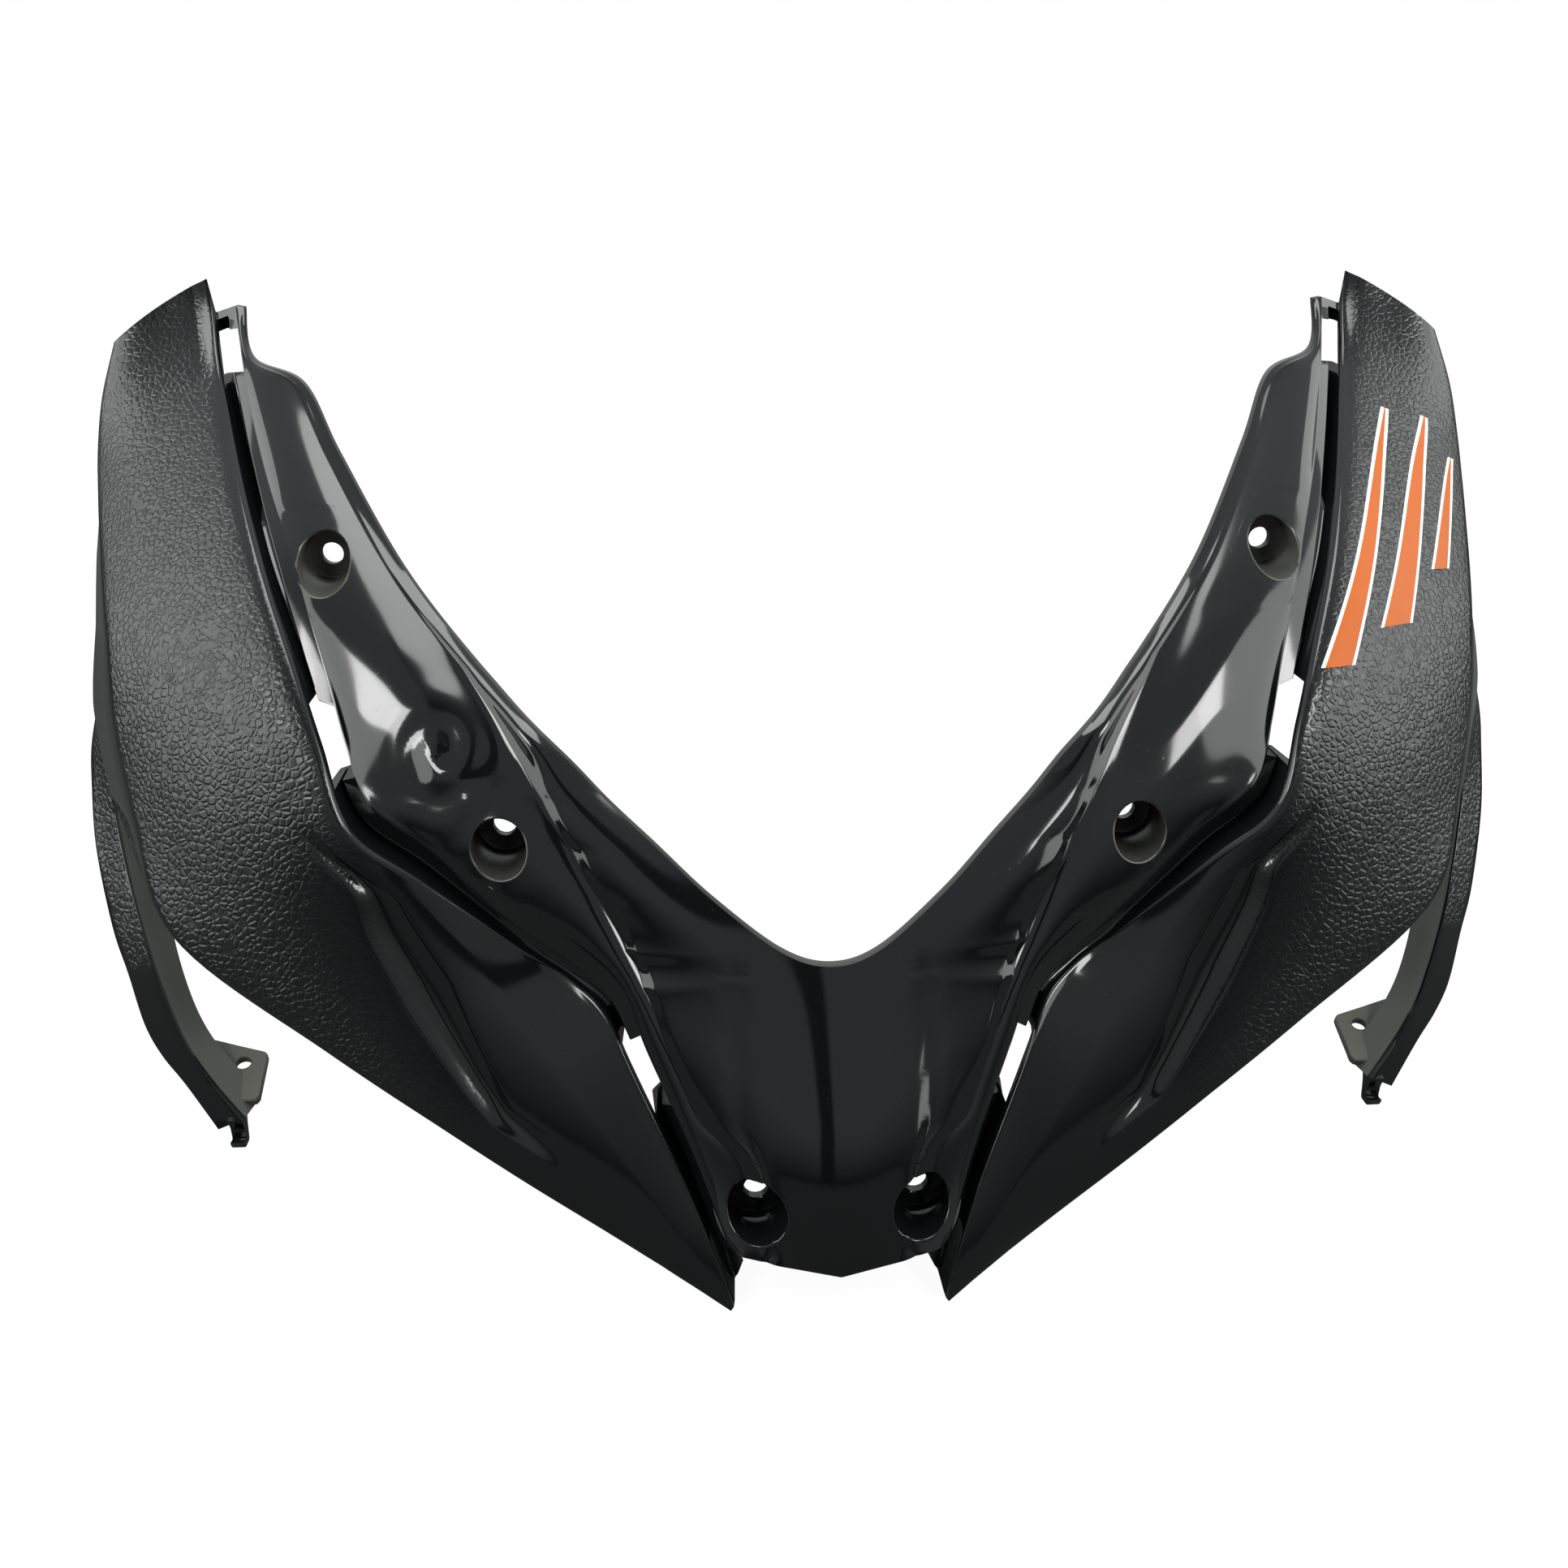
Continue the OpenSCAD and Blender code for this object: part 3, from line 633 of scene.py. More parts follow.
    def warp(self, grid: np.ndarray, block: tuple[int, int, int, int], room: tuple[int, int, int, int],
             well: ScrewWell, radius: float, fit_rows: np.ndarray) -> None:
        """Bends the grid's lines so that a block of cells becomes a round disc on the panel.

        A block point (a, b) in the unit square goes to the disc point (a sqrt(1 - b^2/2), b sqrt(1 - a^2/2)).
        Points move square to the draw, and their depth follows a cubic through the panel round the well.

        Args:
            grid: front or back points, changed in place.
            block: first and last row, first and last column of the block.
            room: rows before and after, and columns before and after, over which the bend dies away.
            well: the well.
            radius: the disc's radius.
            fit_rows: mask of the points that the cubic is fitted to.
        """
        i0, i1, j0, j1 = block
        ri0, ri1, cj0, cj1 = room
        rows = slice(i0 - ri0, i1 + ri1 + 1)
        cols = slice(j0 - cj0, j1 + cj1 + 1)
        patch = grid[rows, cols]
        i = np.arange(rows.start, rows.stop)[:, None] - (i0 + i1) / 2
        j = np.arange(cols.start, cols.stop)[None, :] - (j0 + j1) / 2
        a, b = i / ((i1 - i0) / 2), j / ((j1 - j0) / 2)
        a, b = np.broadcast_arrays(a, b)
        rho = np.maximum(np.abs(a), np.abs(b))
        safe = np.maximum(rho, 1e-6)
        x, y = a / safe, b / safe
        ic, jc = (i0 + i1) // 2, (j0 + j1) // 2
        way_a = unit(grid[i1, jc][[0, 2]] - grid[i0, jc][[0, 2]])
        way_b = unit(grid[ic, j1][[0, 2]] - grid[ic, j0][[0, 2]])
        e1, e2 = unit(way_a + way_b), unit(way_a - way_b)
        axis_a, axis_b = (e1 + e2) / np.sqrt(2), (e1 - e2) / np.sqrt(2)
        disc = (x * np.sqrt(1 - y * y / 2))[..., None] * axis_a
        disc += (y * np.sqrt(1 - x * x / 2))[..., None] * axis_b
        target = np.array([well.x, well.z]) + radius * rho[..., None] * disc
        fade_a = np.where(a < 0, (np.abs(a) - 1) * (i1 - i0) / 2 / ri0, (np.abs(a) - 1) * (i1 - i0) / 2 / ri1)
        fade_b = np.where(b < 0, (np.abs(b) - 1) * (j1 - j0) / 2 / cj0, (np.abs(b) - 1) * (j1 - j0) / 2 / cj1)
        weight = (smooth(1 - fade_a) * smooth(1 - fade_b))[..., None]
        old = patch[..., [0, 2]]
        new = old * (1 - weight) + target * weight
        sample = grid[fit_rows]
        near = sample[np.hypot(sample[:, 0] - well.x, sample[:, 2] - well.z) < 2.4 * radius]
        centre = np.array([well.x, well.z])

        def basis(q: np.ndarray) -> np.ndarray:
            """Cubic terms of the place round the well, in tens of millimetres."""
            s, t = (q[..., 0] - centre[0]) / 10, (q[..., 1] - centre[1]) / 10
            return np.stack([s ** i * t ** j for i in range(4) for j in range(4 - i)], -1)

        terms = np.linalg.lstsq(basis(near[:, [0, 2]]), near[:, 1], rcond=None)[0]
        patch[..., 1] += (basis(new) - basis(old)) @ terms
        patch[..., 0], patch[..., 2] = new[..., 0], new[..., 1]

    def well_rings(self, well: ScrewWell, front: np.ndarray, back: np.ndarray) -> list[np.ndarray]:
        """Rings of points from the mouth's edge down the pocket, through the floor's hole and up the cup.

        Each ring keeps the loop's directions round the axis and takes a radius and a depth.

        Args:
            well: the well.
            front: the loop of points at the mouth.
            back: the loop of points on the panel's back.

        Returns:
            The rings between the two loops.
        """
        centre = np.array([well.x, 0, well.z])
        way, way_back = unit(flat(front - centre)), unit(flat(back - centre))
        bore, hole, cup = well.bore / 2, well.hole / 2, well.bore / 2 + well.cup_wall
        rings = []
        for q in (0.33, 0.66, 1.0):
            a = q * np.pi / 2
            radius, drop = bore + well.lip * (1 - np.sin(a)), well.lip * (1 - np.cos(a))
            rings.append(centre + way * radius + along(front[:, 1] + drop))
        for radius, depth in ((bore, -0.8), (bore - 0.25, -0.2), (bore - 0.8, 0.0), (hole + 0.3, 0.0),
                              (hole, 0.3), (hole, well.floor)):
            rings.append(centre + way * radius + along(np.full(len(way), well.seat + depth)))
        for radius, depth in ((cup - 0.4, well.floor), (cup, well.floor - 0.4)):
            rings.append(centre + way_back * radius + along(np.full(len(way), well.seat + depth)))
        return rings

    def block_of(self, well: ScrewWell, front: np.ndarray, first: int, end: int,
                 ) -> tuple[tuple[int, ...], tuple[int, ...], np.ndarray]:
        """Finds the block of cells that a screw well takes out of the panel.

        Args:
            well: the well.
            front: the front points.
            first: the panel's first column.
            end: the row at which the panel ends.

        Returns:
            First and last row and column of the block, the room for the bend on its four sides, and the mask
            of the points round it.
        """
        reach, last = self.bend_room, front.shape[1] - 1
        gap = np.hypot(front[:, :, 0] - well.x, front[:, :, 2] - well.z)
        gap[:, :first] = np.inf
        ic, jc = np.unravel_index(np.argmin(gap), gap.shape)
        near = gap < (well.bore / 2 + well.lip) * 0.95
        i0, i1 = (int(i) for i in np.where(near[:, jc])[0][[0, -1]])
        j0, j1 = (int(j) for j in np.where(near[ic])[0][[0, -1]])
        j0, i1 = max(j0, first + 2), min(i1, end - 2)
        room = (reach, min(reach, end - i1), min(reach, j0 - first), min(reach, last - j1 - 1))
        around = np.zeros(gap.shape, bool)
        around[max(0, i0 - reach):min(end, i1 + reach) + 1, max(first, j0 - reach):j1 + reach + 1] = True
        return (i0, i1, j0, j1), room, around

    @staticmethod
    def loop_of(block: tuple[int, ...]) -> tuple[np.ndarray, np.ndarray]:
        """Rows and columns of the points round a block, in order."""
        i0, i1, j0, j1 = block
        down, across = np.arange(i0, i1), np.arange(j0, j1)
        rows = np.concatenate([np.full(j1 - j0, i0), down, np.full(j1 - j0, i1), down[::-1] + 1])
        cols = np.concatenate([across, np.full(i1 - i0, j1), across[::-1] + 1, np.full(i1 - i0, j0)])
        return rows, cols

    def build(self) -> bpy.types.Object:
        """Builds both halves as one closed wall.

        Returns:
            The shell's object, with point values grain and matte.
        """
        r, u = self.rails, self.stations()
        front, back, grain, marks = self.columns(u)
        rows, cols = front.shape[:2]
        end, corner = (int(np.searchsorted(u, v - 1e-6)) for v in (r.panel_end, r.corner_station))
        solid = np.ones((rows - 1, cols - 1), bool)
        for window in r.windows:
            i0, i1 = np.searchsorted(u, np.array(window) - 1e-6)
            solid[i0:i1, marks["lip_1"]:marks["crease_0"]] = False
        solid[end:, marks["slot_in_0"]:] = False

        pockets, blocks = np.zeros_like(solid), []
        for well in self.wells:
            block, room, around = self.block_of(well, front, marks["crease_1"], end)
            self.warp(front, block, room, well, well.bore / 2 + well.lip, around)
            self.warp(back, block, room, well, well.bore / 2 + well.cup_wall, around)
            i0, i1, j0, j1 = block
            pockets[i0:i1, j0:j1] = True
            blocks.append(block)
        solid &= ~pockets

        n = rows * cols
        ids = np.arange(n).reshape(rows, cols)
        points, quads, shares, matte_and_lit = [], [], [], []
        ring_points, ring_matte_and_lit, count = [], [], 4 * n
        for side in Side:
            base = 0 if side is Side.RIGHT else 2 * n
            f, k = ids + base, ids + base + n
            f[corner:, -1], k[corner:, -1] = ids[corner:, -1], ids[corner:, -1] + n
            flip = np.array([side.value, 1.0, 1.0])
            points += [(front * flip).reshape(-1, 3), (back * flip).reshape(-1, 3)]
            shares += [grain.ravel(), np.zeros(n)]
            matte_and_lit += [np.zeros(n), np.full(n, self.back_matte_and_lit)]
            half = [self.cells(f, k, solid, pockets, corner)]
            for well, block in zip(self.wells, blocks):
                i, j = self.loop_of(block)
                loops = [f[i, j]]
                for ring in self.well_rings(well, front[i, j], back[i, j]):
                    loops.append(count + np.arange(len(ring)))
                    ring_points.append(ring * flip)
                    # The rings carry the well's share of bare grey-brown, which is painted light on the
                    # pocket walls
                    ring_matte_and_lit.append(np.full(len(ring), well.matte_and_lit))
                    count += len(ring)
                loops.append(k[i, j])
                half += [ring_quads(a, b) for a, b in zip(loops, loops[1:])]
            faces = np.concatenate(half)
            quads.append(faces[:, ::-1] if side is Side.RIGHT else faces)
        points = HeatDent().apply(np.concatenate(points + ring_points))
        shares.append(np.zeros(count - 4 * n))
        return make_mesh("fairing_mask", points, np.concatenate(quads), sharp_deg=38, values={
            "grain": np.concatenate(shares), "matte_and_lit": np.concatenate(matte_and_lit + ring_matte_and_lit)})

    def cells(self, f: np.ndarray, k: np.ndarray, solid: np.ndarray, pockets: np.ndarray,
              corner: int) -> np.ndarray:
        """Faces of one half: the front, the back, and a wall wherever a cell's neighbour is missing.

        Args:
            f: point numbers of the front grid.
            k: point numbers of the back grid.
            solid: mask of the cells that are there.
            pockets: mask of the cells of screw wells, whose rings close the wall.
            corner: row from which the halves share their last column.

        Returns:
            Quads, clockwise from outside on the right half.
        """
        (a, b, c, d), (a2, b2, c2, d2) = cell_corners(f), cell_corners(k)
        gone = np.pad(~solid & ~pockets, 1, constant_values=True)
        left, right = gone[1:-1, :-2], gone[1:-1, 2:].copy()
        above, below = gone[:-2, 1:-1], gone[2:, 1:-1]
        right[corner:, -1] = False
        return np.concatenate([np.stack(quad, -1)[mask] for quad, mask in (
            ((a, b, c, d), solid), ((a2, d2, c2, b2), solid), ((b, a, a2, b2), solid & left),
            ((c, b, b2, c2), solid & below), ((d, c, c2, d2), solid & right),
            ((a, d, d2, a2), solid & above))])


@dataclass
class HeatDent:
    """The soft swirl on the left panel, where heat has drawn the moulding in round a spot."""

    x: float = -102.5
    z: float = 102.0
    depth: float = 0.8
    reach: float = 12.0
    pitch: float = 15.0
    wave_at: tuple[float, float] = (9.0, -16.0)
    wave_way: tuple[float, float] = (0.62, -0.785)
    wave_depth: float = 0.35
    wave_pitch: float = 9.0
    wave_reach: tuple[float, float] = (16.0, 9.0)

    def apply(self, points: np.ndarray) -> np.ndarray:
        """Moves points of the left panel along the draw.

        Formula: depth cos(2 pi r / pitch - a - 0.6) exp(-(r / reach)^2) round the spot, with a the direction,
        eased in over the first 4 mm, and low waves wave_depth cos(2 pi d / wave_pitch)
        exp(-(d / wave_reach)^2 - (e / wave_reach)^2), with d along the way to the next well and e across it.

        Args:
            points: all points of the shell, in millimetres.

        Returns:
            The moved points.
        """
        x, z = points[:, 0] - self.x, points[:, 2] - self.z
        r, a = np.hypot(x, z), np.arctan2(z, x)
        fade = np.exp(-(r / self.reach) ** 2) * smooth(r / 4)
        swirl = self.depth * np.cos(2 * np.pi * r / self.pitch - a - 0.6) * fade
        x, z = x - self.wave_at[0], z - self.wave_at[1]
        d = x * self.wave_way[0] + z * self.wave_way[1]
        e = z * self.wave_way[0] - x * self.wave_way[1]
        fade = np.exp(-(d / self.wave_reach[0]) ** 2 - (e / self.wave_reach[1]) ** 2)
        waves = self.wave_depth * np.cos(2 * np.pi * d / self.wave_pitch) * fade
        return points + along(np.where(points[:, 0] < 0, swirl + waves, 0.0))


def rounded_outline(corners: list[tuple[float, float]], radius: float, count: int) -> np.ndarray:
    """A polygon with rounded corners, sampled evenly by length and turned to start at angle 0 of its middle.

    Args:
        corners: the polygon's corners, counterclockwise.
        radius: how far from each corner the round starts.
        count: number of points.

    Returns:
        Points, shape (count, 2).
    """
    c = np.array(corners, float)
    before, after = np.roll(c, 1, 0) - c, np.roll(c, -1, 0) - c
    shortest = np.minimum(np.linalg.norm(before, axis=1), np.linalg.norm(after, axis=1))
    reach = np.minimum(radius, 0.45 * shortest)[:, None]
    a, b = c + unit(before) * reach, c + unit(after) * reach
    t = np.linspace(0, 1, 6)[:, None, None]
    path = ((1 - t) ** 2 * a + 2 * t * (1 - t) * c + t * t * b).transpose(1, 0, 2).reshape(-1, 2)
    path = np.vstack([path, path[:1]])
    length = np.concatenate([[0], np.cumsum(np.linalg.norm(np.diff(path, axis=0), axis=1))])
    at = np.linspace(0, length[-1], count, endpoint=False)
    return np.stack([np.interp(at, length, path[:, 0]), np.interp(at, length, path[:, 1])], 1)


def loft(rings: list[np.ndarray]) -> np.ndarray:
    """Quads between neighbouring rings of equal length, numbered in ring order."""
    m = len(rings[0])
    ids = np.arange(len(rings) * m).reshape(len(rings), m)
    return np.concatenate([ring_quads(a, b) for a, b in zip(ids, ids[1:])])


@dataclass
class BracketArm:
    """An L of two webs that runs down from the side return, with its tab and hook."""

    web: float = 2.6
    tab_reach: float = 20.0
    tab_width: float = 13.0
    tab_hole: float = 4.6
    tab_tilt: float = 17.0
    tab_at: tuple[float, float, float] = (170, 78, -8)
    hook_drop: float = 7.0
    hook_at: tuple[float, float, float] = (170, 72, -12)
    bare_columns: tuple[int, ...] = (7, 8, 9, 10)
    bare_share: float = 0.7
    outer: np.ndarray = field(default_factory=lambda: drawn([
        [211.5, 133, 108], [213, 131, 98], [216, 130, 86], [216.5, 127, 76], [215, 118, 58], [209.5, 106, 37],
        [204.5, 99, 24.5], [199.5, 92, 11], [194, 87, 3], [186, 80, -3], [175.5, 71, -13]]))
    fold: np.ndarray = field(default_factory=lambda: drawn([
        [206, 122, 108], [207, 121, 98], [208.5, 121, 86], [208, 119, 76], [205, 112, 60], [199.5, 101, 43.5],
        [194.5, 93, 30], [189.5, 87, 18], [184.5, 82, 8.5], [177, 76, 0], [167, 69, -8.5]]))
    inner: np.ndarray = field(default_factory=lambda: drawn([
        [199, 131, 108], [199.5, 132, 98], [201, 134, 86], [201.5, 132, 74], [200, 126, 57], [195.5, 115, 39],
        [190.5, 104, 26], [185.5, 97, 14], [180, 92, 5.5], [173, 87, -1], [165, 81, -8.5]]))

    def webs(self) -> tuple[np.ndarray, np.ndarray, list[list[int]], np.ndarray, np.ndarray]:
        """The two webs as one closed L, swept down the arm with a rounded fold.

        Returns:
            Points, quads, the two end faces, and each point's grain and matte share.
        """
        u = np.linspace(0, 10, 61)
        a, b, c = rail(self.outer, u), rail(self.fold, u), rail(self.inner, u)
        d, e = unit(a - b), unit(c - b)
        cosine = (d * e).sum(1, keepdims=True)
        sine = np.sqrt(1 - cosine ** 2)
        a2, c2 = a + unit(e - d * cosine) * self.web, c + unit(d - e * cosine) * self.web
        b2 = b + (d + e) * self.web / sine
        section = []
        t = np.linspace(0, 1, 4)[:, None, None]
        section += [a, mix(a, b, 0.25), mix(a, b, 0.5), mix(a, b, 0.75)]
        section += list((1 - t) ** 2 * (b + d * 1.4) + 2 * t * (1 - t) * b + t * t * (b + e * 1.4))
        section += [mix(b, c, 0.5), c, c2, mix(b2, c2, 0.5), b2, mix(a2, b2, 0.5), a2]
        rings = np.stack(section, 1)
        m = rings.shape[1]
        quads = loft(list(rings))[:, ::-1]
        points = rings.reshape(-1, 3)
        last = (len(u) - 1) * m
        caps = [list(range(m)), list(range(last + m - 1, last - 1, -1))]
        grain, matte_and_lit = np.zeros((2, len(u), m))
        grain[:, 1:5] = table(u, [(0, 1), (5.8, 1), (6.2, 0), (10, 0)])[:, None]
        matte_and_lit[:, self.bare_columns] = self.bare_share
        return points, quads, caps, grain.ravel(), matte_and_lit.ravel()

    def tab(self) -> tuple[np.ndarray, np.ndarray]:
        """The tab: an outline joined to its hole above, below and through.

        Returns:
            Points and quads.
        """
        w, reach = self.tab_width, self.tab_reach
        hole_at = np.array([1.5, reach - 7])
        outline = rounded_outline([(w * 0.5, -2), (w * 1.15, reach * 0.5), (w * 1.2, reach + 4),
                                   (-w * 0.4, reach - 3), (-w * 0.45, -2)], 1.6, 48)
        way = unit(outline - hole_at)
        hole, lip = hole_at + way * self.tab_hole / 2, hole_at + way * (self.tab_hole / 2 + 0.3)
        inset = outline - way * 0.4
        h = self.web

        def at(xy: np.ndarray, z: float) -> np.ndarray:
            """Lifts outline points to a height in the tab's own thickness."""
            return np.column_stack([xy, np.full(len(xy), z)])

        rings = [at(hole, 0.3), at(lip, 0), at(inset, 0), at(outline, 0.4), at(outline, h - 0.4),
                 at(inset, h), at(lip, h), at(hole, h - 0.3), at(hole, 0.3)]
        tilt = np.radians(self.tab_tilt)
        turn = np.array([[1, 0, 0], [0, np.cos(tilt), -np.sin(tilt)], [0, np.sin(tilt), np.cos(tilt)]])
        points = np.concatenate(rings[:-1]) @ turn.T + drawn([self.tab_at])
        quads = loft(rings)
        quads = np.where(quads >= len(points), quads - len(points), quads)
        return points, quads[:, ::-1]

    def hook(self) -> tuple[np.ndarray, np.ndarray, list[list[int]]]:
        """The hook under the arm's end: a flat outline with rounded corners, 4 mm thick.

        Returns:
            Points, quads and the two flat faces.
        """
        d = self.hook_drop
        outline = rounded_outline([(-3, 3), (-1, -1), (-0.5, 2 - d), (-3.5, 2.5 - d), (-2, -d), (2.5, -d),
                                   (3, -1), (4, 3)], 0.8, 56)
        y, z = outline[:, 0], outline[:, 1]
        rings = [np.column_stack([np.full(len(y), x), y * s, z * s])
                 for x, s in ((-2, 0.97), (-1.7, 1), (1.7, 1), (2, 0.97))]
        points = np.concatenate(rings) + drawn([self.hook_at])
        m = len(y)
        caps = [list(range(m))[::-1], list(range(3 * m, 4 * m))]
        return points, loft(rings), caps

    def build(self, side: Side) -> bpy.types.Object:
        """Builds one arm with its tab and hook.

        Args:
            side: the half that it hangs on.

        Returns:
            The arm's object, with point values grain and matte.
        """
        points, quads, caps, grain, matte_and_lit = self.webs()
        tab_points, tab_quads = self.tab()
        hook_points, hook_quads, hook_caps = self.hook()
        first, second = len(points), len(points) + len(tab_points)
        quads = np.concatenate([quads, tab_quads + first, hook_quads + second])
        caps += [[v + second for v in cap] for cap in hook_caps]
        points = np.concatenate([points, tab_points, hook_points]) * np.array([side.value, 1, 1])
        matte_and_lit = np.concatenate([matte_and_lit, np.ones(len(tab_points)), np.zeros(len(hook_points))])
        grain = np.concatenate([grain, np.zeros(len(points) - first)])
        if side is Side.LEFT:
            quads, caps = quads[:, ::-1], [cap[::-1] for cap in caps]
        return make_mesh(f"bracket_arm_{side.name.lower()}", points, quads, caps, 35,
                         {"grain": grain, "matte_and_lit": matte_and_lit})


@dataclass
class Stripe:
    """One tapering bar of the wing graphic, in shares of the film: u down the wing and f across it."""

    start: tuple[float, float]
    end: tuple[float, float]
    half_start: float
    half_end: float


@dataclass
class WingGraphic:
    """The printed film on the right wing: slanted speed bars with a pale outline."""

    rails: MaskRails = field(default_factory=MaskRails)
    outline: float = 1.1
    pale_lift: float = 0.10
    orange_lift: float = 0.16
    under: float = -0.05
    stripes: tuple[Stripe, ...] = (
        Stripe((2.15, 0.30), (5.3, 0.12), 0.2, 4.2),
        Stripe((2.0, 0.62), (4.9, 0.42), 0.3, 5.2),
        Stripe((2.6, 0.86), (4.3, 0.72), 0.2, 3.2))

    def bars(self, name: str, grow: float, lift: float) -> bpy.types.Object:
        """Lays the bars on the wing as thin closed slips.

        Each bar's point is centre(s) + t half(s), with s from 0 to 1 along it and t from -1 to 1 across it.

        Args:
            name: the piece's name.
            grow: how far the slips reach past the bars.
            lift: height of the slip's face over the wing.

        Returns:
            The object of all bars in one colour.
        """
        points, quads = [], []
        count = 0
        for bar in self.stripes:
            s, t = np.meshgrid(np.linspace(0, 1, 60), np.linspace(-1, 1, 9), indexing="ij")
            u = bar.start[0] + (bar.end[0] - bar.start[0]) * s
            across = np.linalg.norm(rail(self.rails.outer_fold, u) - rail(self.rails.wing_edge, u), axis=-1)
            half = bar.half_start + (bar.half_end - bar.half_start) * s + grow
            f = bar.start[1] + (bar.end[1] - bar.start[1]) * s + half * t / across
            m = s.size
            grid = np.arange(m).reshape(s.shape)
            rim = np.concatenate([grid[0, :], grid[1:, -1], grid[-1, -2::-1], grid[-2:0:-1, 0]])
            face = np.stack([corner.ravel() for corner in cell_corners(grid)], 1)
            quads += [face + count, face[:, ::-1] + count + m, ring_quads(rim, rim + m) + count]
            points += [self.on_wing(u, f, height).reshape(-1, 3) for height in (lift, self.under)]
            count += 2 * m
        return make_mesh(name, np.concatenate(points), np.concatenate(quads)[:, ::-1], sharp_deg=50)

    def on_wing(self, u: np.ndarray, f: np.ndarray, lift: float) -> np.ndarray:
        """Points over the wing face, lifted along the wing's crown direction."""
        flat_u, flat_f = u.ravel(), np.clip(f, 0.02, 0.98).ravel()
        return (self.rails.wing_face(flat_u, flat_f) + self.rails.crown_way * lift).reshape(*u.shape, 3)


def add_node(tree: bpy.types.NodeTree, kind: str, links: dict[str, object] | None = None,
             **settings: object) -> bpy.types.Node:
    """Adds a node with its settings, socket values and links.

    Args:
        tree: the material's node tree.
        kind: the node's type name.
        links: socket name or number to a value, or to an output socket to link from.
        settings: the node's own properties.

    Returns:
        The new node.
    """
    node = tree.nodes.new(kind)
    for key, value in settings.items():
        setattr(node, key, value)
    for key, value in (links or {}).items():
        socket = node.inputs[key]
        if isinstance(value, bpy.types.NodeSocket):
            tree.links.new(value, socket)
        else:
            socket.default_value = value
    return node


def calculate(tree: bpy.types.NodeTree, operation: str, *values: object) -> bpy.types.NodeSocket:
    """Adds a math node on the values and returns its result."""
    return add_node(tree, "ShaderNodeMath", dict(enumerate(values)), operation=operation).outputs[0]


def remap(tree: bpy.types.NodeTree, value: bpy.types.NodeSocket, source: tuple[float, float],
          target: tuple[float, float], kind: str = "LINEAR") -> bpy.types.NodeSocket:
    """Adds a node that carries a value from one range to another, held at the ends.

    Args:
        tree: the node tree.
        value: what it reads.
        source: the range read.
        target: the range given.
        kind: LINEAR or SMOOTHSTEP.

    Returns:
        The carried value.
    """
    return add_node(tree, "ShaderNodeMapRange", {
        "Value": value, "From Min": source[0], "From Max": source[1], "To Min": target[0],
        "To Max": target[1]}, interpolation_type=kind).outputs[0]


def noise(tree: bpy.types.NodeTree, place: bpy.types.NodeSocket, size_mm: float,
          **more: float) -> bpy.types.Node:
    """Adds cloudy noise whose lumps are about size_mm across."""
    values = {key.capitalize(): value for key, value in more.items()}
    return add_node(tree, "ShaderNodeTexNoise", {
        "Vector": place, "Scale": 1000 / size_mm, "Detail": 2.0, **values})


def blank_material(name: str) -> tuple[bpy.types.Material, bpy.types.NodeTree, bpy.types.Node]:
    """Makes a material that holds nothing but its output node, and returns both with the tree."""
    mat = bpy.data.materials.new(name)
    mat.use_nodes = True
    mat.node_tree.nodes.clear()
    return mat, mat.node_tree, add_node(mat.node_tree, "ShaderNodeOutputMaterial")


def seen_directly(tree: bpy.types.NodeTree) -> bpy.types.NodeSocket:
    """One for rays from the camera and through clear parts, zero for reflections and light."""
    path = add_node(tree, "ShaderNodeLightPath")
    return calculate(tree, "MAXIMUM", path.outputs["Is Camera Ray"], path.outputs["Is Transmission Ray"])


